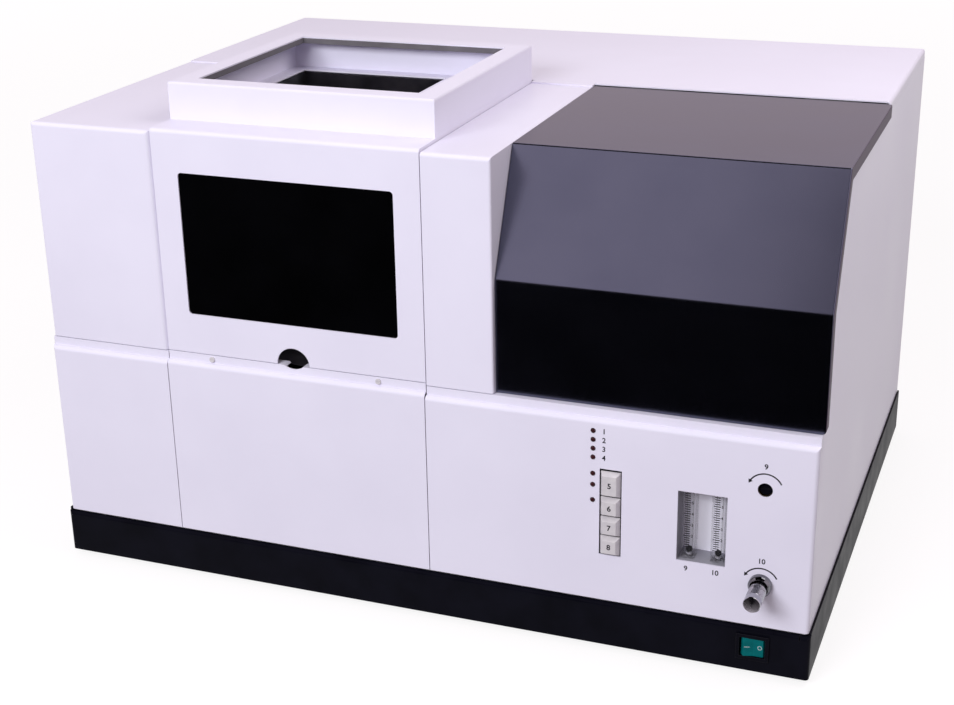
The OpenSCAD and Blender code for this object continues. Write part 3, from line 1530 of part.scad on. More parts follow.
base_plinth();
base_plate();
rubber_feet();
left_side_panel();
right_side_panel();
rear_panel();
rear_top_cover();
left_upper_cover();
optics_column();
lower_left_panel();
lower_middle_panel();
control_panel();
panel_screws();
hinge_rail();
hinge_rod();
burner_hood();
hood_window();
chimney_trim();
lamp_cover();
burner_chamber();
burner_post();
burner_carriage();
spray_chamber();
nebulizer();
burner_head();
lamp_tray();
turret_motor();
lamp_turret();
lamp_envelopes();
lamp_bases();
lens_barrels();
mirrors();
monochromator_body();
monochromator_lid();
grating_table();
detector_tube();
power_supply();
main_board();
fan_frame();
fan_rotor();
mains_inlet();
gas_inlets();
gas_manifold();
gas_regulator();
oxidant_adjuster();
flowmeter_body();
flow_tubes();
oxidant_float();
fuel_float();
needle_valve();
valve_knob();
select_button();
ignite_button();
check_button();
purge_button();
button_block();
indicator_lamps();
control_board();
rocker_frame();
rocker();
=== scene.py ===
# %% [markdown]
# # A flame spectrophotometer for the bench
# The instrument is a wide cabinet of painted sheet steel on a black plinth. A hood with a dark window
# stands over the burner, a glossy black cover hides the lamps, and a small panel holds indicator
# lamps, buttons, flow tubes and a gas valve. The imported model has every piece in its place, so this
# lesson gives each piece its finish, and remodels the few pieces whose real form is finer.

# %% Load the frame
import json
import math

import bmesh
import bpy
from mathutils import Matrix, Vector


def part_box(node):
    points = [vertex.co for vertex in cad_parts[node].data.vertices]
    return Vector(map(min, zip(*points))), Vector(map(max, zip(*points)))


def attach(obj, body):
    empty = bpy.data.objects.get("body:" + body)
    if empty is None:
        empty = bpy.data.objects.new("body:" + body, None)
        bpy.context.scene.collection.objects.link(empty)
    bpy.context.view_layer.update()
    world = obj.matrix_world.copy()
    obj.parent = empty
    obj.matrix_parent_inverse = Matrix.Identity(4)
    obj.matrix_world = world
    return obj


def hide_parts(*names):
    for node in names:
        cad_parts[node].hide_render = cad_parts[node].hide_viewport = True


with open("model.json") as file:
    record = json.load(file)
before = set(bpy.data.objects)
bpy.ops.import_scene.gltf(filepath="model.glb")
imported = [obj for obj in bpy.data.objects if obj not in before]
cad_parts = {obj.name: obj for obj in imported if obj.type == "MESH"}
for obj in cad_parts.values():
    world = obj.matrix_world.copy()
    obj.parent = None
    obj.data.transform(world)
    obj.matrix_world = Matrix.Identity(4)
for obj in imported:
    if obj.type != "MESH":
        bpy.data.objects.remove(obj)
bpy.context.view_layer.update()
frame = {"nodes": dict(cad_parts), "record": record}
nodes = frame["nodes"]
scene = bpy.context.scene
MM = 0.001
print("Nodes loaded:", len(nodes))

# %% [markdown]
# ## The camera
# The picture is taken from a little to the right and above, with a long lens, so the far corners look
# only slightly smaller than the near ones. Three angles give the camera's own axes: it is turned about
# the vertical, tipped down, and rolled by about a degree. Building the matrix from those axes is
# clearer here than a track constraint, because the roll is part of the view.

# %% Place the camera
turn, tip, roll = (math.radians(angle) for angle in (21.21, 21.32, -1.05))
camera_place = Vector((0.6191, -1.7122, 0.8908))
ahead = Vector((-math.sin(turn) * math.cos(tip), math.cos(turn) * math.cos(tip), -math.sin(tip)))
level_right = Vector((math.cos(turn), math.sin(turn), 0))
level_up = level_right.cross(ahead)
camera_right = level_right * math.cos(roll) + level_up * math.sin(roll)
camera_up = level_up * math.cos(roll) - level_right * math.sin(roll)

lens = bpy.data.cameras.new("product_camera")
lens.sensor_fit = "HORIZONTAL"
lens.sensor_width = 36
lens.lens = 61.72
camera = bpy.data.objects.new("product_camera", lens)
axes = Matrix((camera_right, camera_up, -ahead)).transposed()
camera.matrix_world = Matrix.Translation(camera_place) @ axes.to_4x4()
scene.collection.objects.link(camera)
scene.camera = camera
scene.view_settings.view_transform = "Standard"
print("Camera looks along", [round(part, 3) for part in ahead])

# %% [markdown]
# ## Shader nodes by name
# Every finish below is a small graph of shader nodes. Adding nodes one line at a time hides what the
# graph does, so one helper adds a node and fills its inputs by name: a socket is linked, and a plain
# value is set.

# %% A helper that adds shader nodes
def add(tree, kind, **inputs):
    """Adds a shader node. A socket given as an input is linked, and a plain value is set."""
    made = tree.nodes.new("ShaderNode" + kind)
    for name, value in inputs.items():
        socket = made.inputs[name.replace("_", " ")]
        if isinstance(value, bpy.types.NodeSocket):
            tree.links.new(value, socket)
        else:
            socket.default_value = value
    return made


def seen_rays(tree):
    """1 for rays that show the studio itself, straight on, in gloss or through glass."""
    path = add(tree, "LightPath").outputs
    total = path["Is Camera Ray"]
    for kind in ("Is Glossy Ray", "Is Transmission Ray"):
        step = tree.nodes.new("ShaderNodeMath")
        step.use_clamp = True
        tree.links.new(total, step.inputs[0])
        tree.links.new(path[kind], step.inputs[1])
        total = step.outputs["Value"]
    return total


# %% [markdown]
# ## The studio
# Bench instruments are photographed on white paper with one large soft lamp at the upper left and a
# weaker one at the upper right. The surrounding light is a plain dome. The camera sees it white, and
# the glossy pieces see it with a breath of lilac, like the walls of a room. The paper floor is pale, and
# a little glow that only seen rays get carries it up to white, so the soft shadow under the plinth
# stays.

# %% Light the room
dome = bpy.data.worlds.new("studio_dome")
dome.use_nodes = True
dome_tree = dome.node_tree
dome_tree.nodes.clear()
dome_light = add(dome_tree, "Background", Color=(1.0, 0.915, 0.935, 1), Strength=0.50)
dome_rays = add(dome_tree, "LightPath").outputs
dome_tint = add(dome_tree, "MixRGB", Fac=dome_rays["Is Camera Ray"], Color1=(0.97, 0.86, 0.96, 1),
                Color2=(1, 1, 1, 1))
dome_white = add(dome_tree, "Background", Color=dome_tint.outputs["Color"], Strength=1.0)
dome_mix = add(dome_tree, "MixShader", Fac=seen_rays(dome_tree))
dome_tree.links.new(dome_light.outputs[0], dome_mix.inputs[1])
dome_tree.links.new(dome_white.outputs[0], dome_mix.inputs[2])
dome_end = dome_tree.nodes.new("ShaderNodeOutputWorld")
dome_tree.links.new(dome_mix.outputs[0], dome_end.inputs["Surface"])
scene.world = dome


def softbox(name, place, target, size, power, tint):
    """A rectangular lamp at a place, aimed at a target."""
    lamp = bpy.data.lights.new(name, "AREA")
    lamp.shape = "RECTANGLE"
    lamp.size, lamp.size_y = size
    lamp.energy = power
    lamp.color = tint
    stand = bpy.data.objects.new(name, lamp)
    aim = (Vector(target) - Vector(place)).to_track_quat("-Z", "Y")
    stand.matrix_world = Matrix.Translation(place) @ aim.to_matrix().to_4x4()
    scene.collection.objects.link(stand)
    return stand


key = softbox("key_softbox", (-0.45, -2.40, 1.50), (0.257, -0.284, 0.443), (1.30, 0.75), 48.5,
              (0.945, 0.97, 1.0))
softbox("top_softbox", (0.85, -0.05, 1.50), (-0.05, 0, 0.5), (0.9, 0.8), 7.2, (1.0, 0.965, 0.97))
# Glossy black sheets show the white room and not the lamp, so no view has a glare on them
key.visible_glossy = False

# %% Lay the paper floor
floor_mesh = bmesh.new()
bmesh.ops.create_grid(floor_mesh, x_segments=1, y_segments=1, size=15)
floor_data = bpy.data.meshes.new("paper_floor")
floor_mesh.to_mesh(floor_data)
floor_mesh.free()
floor = bpy.data.objects.new("paper_floor", floor_data)
scene.collection.objects.link(floor)

paper = bpy.data.materials.new("white_paper")
paper.use_nodes = True
paper_tree = paper.node_tree
paper_tree.nodes.clear()
paper_spot = add(paper_tree, "TexCoord").outputs["Object"]
paper_fibre = add(paper_tree, "TexNoise", Vector=paper_spot, Scale=900.0).outputs["Fac"]
paper_tint = add(paper_tree, "ValToRGB", Fac=paper_fibre)
paper_tint.color_ramp.elements[0].color = (0.22, 0.20, 0.21, 1)
paper_tint.color_ramp.elements[1].color = (0.24, 0.22, 0.23, 1)
paper_matt = add(paper_tree, "BsdfDiffuse", Color=paper_tint.outputs["Color"])
# The lamp fades with distance, so the glow that makes up for it grows from near to far
paper_far = add(paper_tree, "VectorMath", Vector=paper_spot)
paper_far.operation = "LENGTH"
paper_lift = add(paper_tree, "MapRange", Value=paper_far.outputs["Value"], From_Min=0.8, From_Max=4.0,
                 To_Min=0.83, To_Max=0.89)
paper_seen = paper_tree.nodes.new("ShaderNodeMath")
paper_seen.operation = "MULTIPLY"
paper_tree.links.new(paper_lift.outputs["Result"], paper_seen.inputs[0])
paper_tree.links.new(seen_rays(paper_tree), paper_seen.inputs[1])
paper_glow = add(paper_tree, "Emission", Color=(1, 1, 1, 1), Strength=paper_seen.outputs["Value"])
paper_both = paper_tree.nodes.new("ShaderNodeAddShader")
paper_tree.links.new(paper_matt.outputs[0], paper_both.inputs[0])
paper_tree.links.new(paper_glow.outputs[0], paper_both.inputs[1])
paper_end = paper_tree.nodes.new("ShaderNodeOutputMaterial")
paper_tree.links.new(paper_both.outputs[0], paper_end.inputs["Surface"])
floor_data.materials.append(paper)
print("Floor is", round(floor.dimensions.x, 1), "m wide")

# %% [markdown]
# ## A black cloth
# Glossy black sheets and chrome look black only when they have something dark to mirror. A photographer
# lays a black cloth on the floor in front of the object, outside the picture, and hangs three more: a
# low one across, so that upright faces stay black, a tall one on the right, so that the slanted face of
# the cover fades from left to right, and one overhead, which draws a dark line along each bend. Here
# they are flat sheets that only glossy rays meet, so they take no light away.

# %% Lay and hang the black cloth
lying = Matrix.Identity(4)
upright = Matrix.Rotation(math.radians(90), 4, "X")
# Each cloth has its middle, the way it lies, and half its width and length
cloths = {"floor": ((0.1, -1.94, 0.002), lying, (2.2, 1.46)),
          "low": ((0.1, -3.4, 0.5), upright, (2.2, 0.5)),
          "right": ((1.05, -3.4, 1.4), upright, (1.1, 1.4)),
          "overhead": ((0.1, -0.4, 2.8), lying, (2.2, 1.45))}
cloth_mesh = bmesh.new()
for place, turned, half_size in cloths.values():
    spread = Matrix.Diagonal((*half_size, 1, 1))
    bmesh.ops.create_grid(cloth_mesh, x_segments=1, y_segments=1, size=1.0,
                          matrix=Matrix.Translation(place) @ turned @ spread)
cloth_data = bpy.data.meshes.new("black_cloth")
cloth_mesh.to_mesh(cloth_data)
cloth_mesh.free()
cloth = bpy.data.objects.new("black_cloth", cloth_data)
scene.collection.objects.link(cloth)
cloth.visible_camera = False
cloth.visible_diffuse = False
cloth.visible_transmission = False
cloth.visible_shadow = False
felt = bpy.data.materials.new("black_felt")
felt.use_nodes = True
felt_shader = felt.node_tree.nodes["Principled BSDF"]
felt_shader.inputs["Base Color"].default_value = (0.004, 0.004, 0.005, 1)
felt_shader.inputs["Roughness"].default_value = 0.95
felt_shader.inputs["Specular IOR Level"].default_value = 0.0
cloth_data.materials.append(felt)
print("Cloths:", ", ".join(cloths))

# %% [markdown]
# ## Finishes for solid pieces
# Paint, plated steel, cast metal and moulded plastic differ in colour, gloss and grain, but they are
# built alike: soft clouds vary the colour and the gloss a little, a fine grain gives the surface its
# tooth, and edges are rounded in the shading because a real press brake or mould never leaves a knife
# edge. One function makes them all, so each finish is one readable line: its two colours, its gloss
# from and to, the scale of the clouds, the scale of the grain and the grain's relief. Patterns lie on
# Object coordinates, which are metres here, so a grain of 2000 is about half a millimetre.

# %% A helper for solid finishes
finishes = {}


def finish(name, dark, light, gloss, clouds, grain, relief, metal=0.0, level=0.5, stretch=(1, 1, 1),
           edge=0.5, edge_wear_and_highlight=None):
    """A finish with two close colours in clouds, uneven gloss, a fine grain and softened edges."""
    material = bpy.data.materials.new(name + "_finish")
    material.use_nodes = True
    tree = material.node_tree
    shader = tree.nodes["Principled BSDF"]
    spot = add(tree, "TexCoord").outputs["Object"]
    run = add(tree, "Mapping", Vector=spot, Scale=stretch).outputs["Vector"]
    cloud = add(tree, "TexNoise", Vector=run, Scale=clouds, Detail=4.0).outputs["Fac"]
    tint = add(tree, "ValToRGB", Fac=cloud)
    for stop, place, colour in zip(tint.color_ramp.elements, (0.35, 0.65), (dark, light)):
        stop.position = place
        stop.color = (*colour, 1)
    colour = tint.outputs["Color"]
    soft = add(tree, "Bevel", Radius=edge * MM)
    soft.samples = 4
    if edge_wear_and_highlight:
        # Where the rounded normal leaves the flat one, the surface is at an edge
        near_edge = add(tree, "VectorMath", Vector=soft.outputs["Normal"])
        near_edge.operation = "DOT_PRODUCT"
        tree.links.new(add(tree, "NewGeometry").outputs["Normal"], near_edge.inputs[1])
        edge_amount = add(tree, "MapRange", Value=near_edge.outputs["Value"], From_Min=1.0, From_Max=0.8,
                  To_Min=0.0, To_Max=0.6)
        # The edge colour is real wear on the brass and the cast metal, and a painted highlight along the
        # edges of the cabinet paint and the plinth
        mix = add(tree, "MixRGB", Fac=edge_amount.outputs["Result"], Color1=colour, Color2=(*edge_wear_and_highlight, 1))
        colour = mix.outputs["Color"]
    tree.links.new(colour, shader.inputs["Base Color"])
    sheen = add(tree, "MapRange", Value=cloud, From_Min=0.3, From_Max=0.7, To_Min=gloss[0], To_Max=gloss[1])
    tree.links.new(sheen.outputs["Result"], shader.inputs["Roughness"])
    tooth = add(tree, "TexNoise", Vector=run, Scale=grain, Detail=2.0).outputs["Fac"]
    bump = add(tree, "Bump", Height=tooth, Strength=relief, Distance=0.1 * MM, Normal=soft.outputs["Normal"])
    tree.links.new(bump.outputs["Normal"], shader.inputs["Normal"])
    shader.inputs["Metallic"].default_value = metal
    shader.inputs["Specular IOR Level"].default_value = level
    finishes[name] = material
    return material


# %% [markdown]
# ## Paint, plastic and rubber
# The cabinet wears a satin powder coat: white with a breath of lavender, and with the faint orange
# peel of a sprayed coat. The plinth is black and almost matt. The window is black all through, so its
# specular level is low. The cover is a black sheet under a thick lacquer that mirrors the room more than
# plain paint does. A very dark metal gives that: all it shows is reflection, bluish from the front and a
# little warmer where the eye grazes it.

# %% Make the painted and moulded finishes
# The lighter edge colours of the cabinet paint and the plinth are painted highlights along their edges
finish("cabinet_paint", (0.775, 0.745, 0.875), (0.80, 0.77, 0.90), (0.34, 0.42), 9, 700, 0.10, level=0.4,
       edge_wear_and_highlight=(0.86, 0.84, 0.93))
finish("plinth_paint", (0.002, 0.002, 0.0045), (0.004, 0.004, 0.008), (0.36, 0.46), 30, 1500, 0.15,
       level=0.04, edge=1.0, edge_wear_and_highlight=(0.035, 0.033, 0.038))
finish("cover_black", (0.126, 0.134, 0.186), (0.142, 0.150, 0.205), (0.22, 0.26), 14, 300, 0.008, metal=1.0,
       level=0.06)
cover_shader = finishes["cover_black"].node_tree.nodes["Principled BSDF"]
cover_shader.inputs["Specular Tint"].default_value = (0.75, 0.71, 0.68, 1)
finish("window_dark", (0.0008, 0.0008, 0.001), (0.0015, 0.0015, 0.002), (0.05, 0.09), 12, 250, 0.02,
       level=0.03)
finish("trim_grey", (0.13, 0.12, 0.135), (0.16, 0.15, 0.165), (0.45, 0.6), 60, 1800, 0.3)
finish("white_polymer", (0.74, 0.74, 0.71), (0.80, 0.80, 0.77), (0.35, 0.48), 40, 1200, 0.15)
finish("black_plastic", (0.008, 0.008, 0.009), (0.013, 0.013, 0.015), (0.40, 0.55), 60, 2600, 0.35,
       level=0.35)
finish("foot_rubber", (0.014, 0.014, 0.014), (0.024, 0.023, 0.023), (0.75, 0.9), 90, 2200, 0.6, level=0.3)
finish("button_cream", (0.60, 0.57, 0.60), (0.66, 0.63, 0.65), (0.38, 0.5), 120, 2400, 0.2, level=0.4,
       edge=0.3)
finish("indicator_red", (0.030, 0.008, 0.010), (0.048, 0.012, 0.015), (0.12, 0.22), 200, 900, 0.05, level=0.3,
       edge=0.2)
finish("rocker_green", (0.001, 0.120, 0.127), (0.002, 0.150, 0.157), (0.22, 0.32), 90, 1600, 0.1, level=0.05,
       edge=0.3)
finish("panel_ink", (0.012, 0.011, 0.016), (0.022, 0.020, 0.026), (0.5, 0.65), 300, 3000, 0.1, level=0.3,
       edge=0.05)
finish("pale_ink", (0.62, 0.68, 0.68), (0.70, 0.76, 0.76), (0.4, 0.55), 300, 3000, 0.1, edge=0.05)
print("Painted and moulded finishes:", len(finishes))

# %% [markdown]
# ## Metals
# The inner sheets are zinc plated, which shows as cloudy grey patches. Brushed stainless gets its
# lines by stretching the grain along one axis. Castings are dull and pitted, brass fittings are
# turned, and the valve is chrome, bright enough to mirror the white studio and the dark plinth.

# %% Make the metal finishes
finish("zinc_steel", (0.49, 0.50, 0.52), (0.57, 0.58, 0.59), (0.36, 0.44), 75, 1300, 0.2, metal=1.0)
finish("stainless", (0.46, 0.46, 0.47), (0.58, 0.58, 0.58), (0.22, 0.36), 30, 900, 0.35, metal=1.0,
       stretch=(1, 1, 12))
finish("cast_alloy", (0.48, 0.49, 0.51), (0.60, 0.61, 0.63), (0.45, 0.62), 45, 900, 0.8, metal=1.0,
       edge_wear_and_highlight=(0.75, 0.76, 0.78))
finish("brass_parts", (0.58, 0.41, 0.17), (0.70, 0.52, 0.24), (0.22, 0.34), 80, 1500, 0.2, metal=1.0,
       edge_wear_and_highlight=(0.85, 0.70, 0.42))
finish("mirror_coat", (0.84, 0.85, 0.87), (0.90, 0.91, 0.92), (0.02, 0.05), 25, 400, 0.02, metal=1.0)
finish("chrome_parts", (0.34, 0.34, 0.37), (0.44, 0.44, 0.47), (0.07, 0.13), 120, 1800, 0.05, metal=1.0)
# A darker copy of the chrome for the valve's nut: painted shade standing in for the dark room it mirrors
finish("dark_chrome", (0.14, 0.14, 0.155), (0.20, 0.20, 0.215), (0.05, 0.10), 120, 1800, 0.04, metal=1.0)
# Nearly black steel for the burner chamber: painted shade inside it, so the flue and the finger notch look
# dark
finish("chamber_painted_shade", (0.07, 0.07, 0.08), (0.14, 0.14, 0.155), (0.4, 0.58), 25, 700, 0.3, metal=1.0)
print("Finishes with metals:", len(finishes))

# %% [markdown]
# ## Clear pieces
# The flow tubes are square acrylic columns and the lamps are glass envelopes. Glass is a Principled
# shader with full transmission. The columns are flat and thin, so a low alpha shows them better: light
# still reaches the ball inside. Clear plastic looks dark where the eye meets its sides, so the alpha
# grows as a face turns sideways. A slow ripple keeps both from looking perfect, as drawn glass and
# machined acrylic never are.

# %% Make the clear finishes
def clear_finish(name, tint, rough, ripple, ior=None, veil=None):
    """A see-through finish with a slow ripple: glass with an IOR, or a veil from front to side faces."""
    material = bpy.data.materials.new(name + "_finish")
    material.use_nodes = True
    tree = material.node_tree
    shader = tree.nodes["Principled BSDF"]
    spot = add(tree, "TexCoord").outputs["Object"]
    wave = add(tree, "TexNoise", Vector=spot, Scale=ripple, Detail=1.0).outputs["Fac"]
    shade = add(tree, "ValToRGB", Fac=wave)
    shade.color_ramp.elements[0].color = (*[0.97 * part for part in tint], 1)
    shade.color_ramp.elements[1].color = (*tint, 1)
    bump = add(tree, "Bump", Height=wave, Strength=0.06, Distance=0.2 * MM)
    tree.links.new(shade.outputs["Color"], shader.inputs["Base Color"])
    tree.links.new(bump.outputs["Normal"], shader.inputs["Normal"])
    shader.inputs["Roughness"].default_value = rough
    if veil is None:
        shader.inputs["IOR"].default_value = ior
        shader.inputs["Transmission Weight"].default_value = 1.0
    else:
        facing = add(tree, "SeparateXYZ", Vector=add(tree, "NewGeometry").outputs["Normal"])
        sideways = tree.nodes.new("ShaderNodeMath")
        sideways.operation = "ABSOLUTE"
        tree.links.new(facing.outputs["X"], sideways.inputs[0])
        amount = add(tree, "MapRange", Value=sideways.outputs["Value"], From_Min=0.8, From_Max=1.0,
                     To_Min=veil[0], To_Max=veil[1])
        tree.links.new(amount.outputs["Result"], shader.inputs["Alpha"])
    finishes[name] = material


clear_finish("acrylic", (0.30, 0.30, 0.33), 0.05, 60, veil=(0.02, 0.38))
clear_finish("lamp_glass", (0.97, 0.98, 0.97), 0.01, 35, ior=1.47)
print("Finishes with clear ones:", len(finishes))

# %% [markdown]
# ## Finishes that change across a piece
# Some nodes carry more than one finish. A circuit board has copper runs under its green lacquer, and
# a lamp has a black socket behind bright electrodes. The flowmeter's housing has grey walls and floor,
# which are painted shade in its recess, and a white back plate. The hinge is painted black behind the
# black cover, as painted shade in the gap along the cover's back edge. Their parts lie at known places,
# so a coordinate picks the finish, and no extra pieces are needed.

# %% Make the mixed finishes
def by_place(name, base, axis, border, colour, rough, metal=None):
    """A copy of a finish that has another colour and gloss beyond a border on one axis."""
    material = finishes[base].copy()
    material.name = name + "_finish"
    tree = material.node_tree
    shader = tree.nodes["Principled BSDF"]
    parts = add(tree, "SeparateXYZ", Vector=add(tree, "TexCoord").outputs["Object"]).outputs
    beyond = tree.nodes.new("ShaderNodeMath")
    beyond.operation = "GREATER_THAN"
    tree.links.new(parts[axis], beyond.inputs[0])
    beyond.inputs[1].default_value = border
    for socket, value in (("Base Color", (*colour, 1)), ("Roughness", (rough,) * 3 + (1,))):
        link = shader.inputs[socket].links[0].from_socket
        mix = add(tree, "MixRGB", Fac=beyond.outputs["Value"], Color1=link, Color2=value)
        tree.links.new(mix.outputs["Color"], shader.inputs[socket])
    if metal is not None:
        metal_before = shader.inputs["Metallic"].default_value
        step = add(tree, "MapRange", Value=beyond.outputs["Value"], To_Min=metal_before, To_Max=metal)
        tree.links.new(step.outputs["Result"], shader.inputs["Metallic"])
    finishes[name] = material


socket_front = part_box("lamp_envelopes")[1].x - 0.2 * MM
cover_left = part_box("lamp_cover")[0].x
housing_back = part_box("flowmeter_body")[1].y - 4.5 * MM
by_place("lamp_socket", "stainless", "X", socket_front, (0.01, 0.01, 0.011), 0.5, metal=0.0)
# Beyond the cover's left end the hinge is painted black: painted shade in the gap behind the cover
by_place("hinge_painted_shade", "zinc_steel", "X", cover_left, (0.003, 0.003, 0.005), 0.45, metal=0.0)
# The grey of the housing's walls and floor is painted shade inside the recess; the back plate is white
finish("housing_walls_painted_shade", (0.29, 0.285, 0.33), (0.34, 0.335, 0.38), (0.3, 0.45), 80, 1400, 0.15)
by_place("flow_housing_painted_shade", "housing_walls_painted_shade", "Y", housing_back, (0.91, 0.885, 0.99), 0.5)

finish("board", (0.012, 0.10, 0.045), (0.02, 0.14, 0.065), (0.28, 0.4), 60, 2000, 0.1)
board_tree = finishes["board"].node_tree
board_spot = add(board_tree, "TexCoord").outputs["Object"]
tracks = add(board_tree, "TexBrick", Vector=board_spot, Scale=90.0, Mortar_Size=0.012, Color1=(0, 0, 0, 1),
             Color2=(0, 0, 0, 1), Mortar=(1, 1, 1, 1))
board_shader = board_tree.nodes["Principled BSDF"]
lacquer = board_shader.inputs["Base Color"].links[0].from_socket
copper = add(board_tree, "MixRGB", Fac=tracks.outputs["Fac"], Color1=lacquer, Color2=(0.07, 0.27, 0.11, 1))
board_tree.links.new(copper.outputs["Color"], board_shader.inputs["Base Color"])
print("All finishes:", len(finishes))

# %% [markdown]
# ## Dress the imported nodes
# The record names a material slot for each node, so most nodes take the finish of that name. A few
# have a finish of their own.

# %% Assign the finishes
slot_of = {row["node"]: row["material_slot"] for row in frame["record"]["subparts"]}
own_finish = {"lamp_bases": "lamp_socket", "flowmeter_body": "flow_housing_painted_shade",
              "burner_chamber": "chamber_painted_shade", "rocker_frame": "plinth_paint",
              "needle_valve": "dark_chrome", "oxidant_adjuster": "plinth_paint",
              "hinge_rail": "hinge_painted_shade", "hinge_rod": "hinge_painted_shade",
              "panel_screws": "button_cream"}
for name, node in nodes.items():
    chosen = finishes[own_finish.get(name, slot_of[name])]
    for slot in node.material_slots:
        slot.material = chosen
print("Dressed nodes:", len(nodes), "with", len(set(slot_of.values())), "slots")

# %% [markdown]
# ## Making a new piece
# Each new piece starts as a bmesh. One helper turns it into an object, smooths it up to a given
# angle, lets it ride on its body and names the slot of its finish. A Weighted Normal modifier lets
# the large faces keep their own direction, so a flat sheet stays flat beside a rounded edge.

# %% A helper for new pieces
def piece(name, shape, finish_name, body, smooth=35):
    """Turns a bmesh into a piece that rides on a body."""
    mesh = bpy.data.meshes.new(name)
    shape.to_mesh(mesh)
    shape.free()
    mesh.materials.append(finishes[finish_name])
    mesh.shade_smooth()
    mesh.set_sharp_from_angle(angle=math.radians(smooth))
    made = bpy.data.objects.new(name, mesh)
    scene.collection.objects.link(made)
    even = made.modifiers.new("even_shading", "WEIGHTED_NORMAL")
    even.keep_sharp = True
    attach(made, body)
    print(name, "has", len(mesh.polygons), "faces")
    return made


# %% [markdown]
# ## The lamp cover
# The cover is one sheet with two bends and a lip folded over the right side. Its side view is drawn as
# a face that runs past the sheet's ends, and an inset of the lip's depth leaves the lip as a ring. The
# outer edges are then pulled across to the left side and two cuts trim the ends. Three cuts along a
# circle round off each right corner, one bevel rounds the bends and the fold, and solidify gives the
# sheet its thickness towards the inside. The lip takes a duller, darker copy of the finish, which is
# painted shade on that side of the sheet.

# %% Bend the lamp cover
cover_low, cover_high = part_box("lamp_cover")
cover_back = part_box("optics_column")[1].y
cover_t = 2 * MM
lip = 13 * MM
spare = 3 * lip
bend_r = 1.5 * MM
side_x = cover_high.x
crease_z, top_bend_y = 382 * MM, -256.5 * MM

sheet = bmesh.new()
past_low, past_back = cover_low.z - spare, cover_back + spare
corners = [sheet.verts.new((side_x, y, z)) for y, z in (
    (cover_low.y, past_low), (cover_low.y, crease_z), (top_bend_y, cover_high.z), (past_back, cover_high.z),
    (past_back, past_low))]
side_face = sheet.faces.new(corners)
sheet.normal_update()
bmesh.ops.inset_region(sheet, faces=[side_face], thickness=lip, use_even_offset=True, use_boundary=True)
outer = [edge for edge in sheet.edges if edge.is_boundary]
folds = [edge for edge in outer if min(vert.co.y for vert in edge.verts) < cover_back
         and max(vert.co.z for vert in edge.verts) > cover_low.z]
bmesh.ops.delete(sheet, geom=[side_face], context="FACES")
wide = bmesh.ops.extrude_edge_only(sheet, edges=folds)
pulled = [part for part in wide["geom"] if isinstance(part, bmesh.types.BMVert)]
bmesh.ops.translate(sheet, verts=pulled, vec=(cover_low.x - side_x, 0, 0))
trims = [(Vector((0, 0, cover_low.z)), Vector((0, 0, -1))), (Vector((0, cover_back, 0)), Vector((0, 1, 0)))]
corner_r = 4 * MM
outwards = Vector((1, 0, 0))
for place, away in trims[:]:
    centre = place - away * corner_r + outwards * (side_x - corner_r)
    for angle in (22.5, 45, 67.5):
        towards = outwards * math.cos(math.radians(angle)) + away * math.sin(math.radians(angle))
        trims.append((centre + towards * corner_r, towards))
for place, away in trims:
    everything = sheet.verts[:] + sheet.edges[:] + sheet.faces[:]
    bmesh.ops.bisect_plane(sheet, geom=everything, plane_co=place, plane_no=away, clear_outer=True)
bmesh.ops.recalc_face_normals(sheet, faces=sheet.faces)
if max(sheet.faces, key=lambda face: face.calc_center_median().z).normal.z < 0:
    bmesh.ops.reverse_faces(sheet, faces=sheet.faces)
bends = [edge for edge in sheet.edges if len(edge.link_faces) == 2 and edge.calc_face_angle(0) > 0.3]
bmesh.ops.bevel(sheet, geom=bends, offset=bend_r, segments=4, profile=0.5, affect="EDGES", material=-1)
bmesh.ops.solidify(sheet, geom=sheet.faces[:], thickness=cover_t)
lip_face = side_x - 0.4 * MM
# The lip's darker copy of the finish is painted shade on that side of the cover
by_place("cover_lip_painted_shade", "cover_black", "X", lip_face, (0.06, 0.035, 0.066), 0.42, metal=0.0)
lamp_cover_sheet = piece("lamp_cover_sheet", sheet, "cover_lip_painted_shade", "lamp_cover")
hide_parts("lamp_cover")

# %% [markdown]
# ## The cover's hinge knuckles
# Two rolled knuckles carry the cover on the hinge rod. A knuckle is a short tube with a flat tab that
# is welded under the sheet. The tube is a rectangle spun about the rod, and the tab is a box.

# %% Roll the hinge knuckles
rod_low, rod_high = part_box("hinge_rod")
hinge_y, hinge_z = (rod_low.y + rod_high.y) / 2, (rod_low.z + rod_high.z) / 2
knuckle_half = 15 * MM
bore_r, roll_r = 1.35 * MM, 2.7 * MM
section = ((-knuckle_half, bore_r), (knuckle_half, bore_r), (knuckle_half, roll_r), (-knuckle_half, roll_r))
tab_size = Vector((2 * knuckle_half, 11 * MM, 1.4 * MM))
knuckles = bmesh.new()
for station in (155.3 * MM, 357.5 * MM):
    tube = [knuckles.verts.new((station + side, hinge_y, hinge_z + radius)) for side, radius in section]
    wall = [knuckles.edges.new((tube[i], tube[(i + 1) % 4])) for i in range(4)]
    bmesh.ops.spin(knuckles, geom=tube + wall, cent=(0, hinge_y, hinge_z), axis=(1, 0, 0), angle=math.tau,
                   steps=24, use_merge=True)
    tab_place = Vector((station, hinge_y - 2.2 * MM - tab_size.y / 2, hinge_z - 0.2 * MM))
    bmesh.ops.create_cube(knuckles, matrix=Matrix.Translation(tab_place) @ Matrix.Diagonal((*tab_size, 1)))
bmesh.ops.remove_doubles(knuckles, verts=knuckles.verts, dist=0.01 * MM)
bmesh.ops.recalc_face_normals(knuckles, faces=knuckles.faces)
piece("cover_knuckles", knuckles, "black_plastic", "lamp_cover")
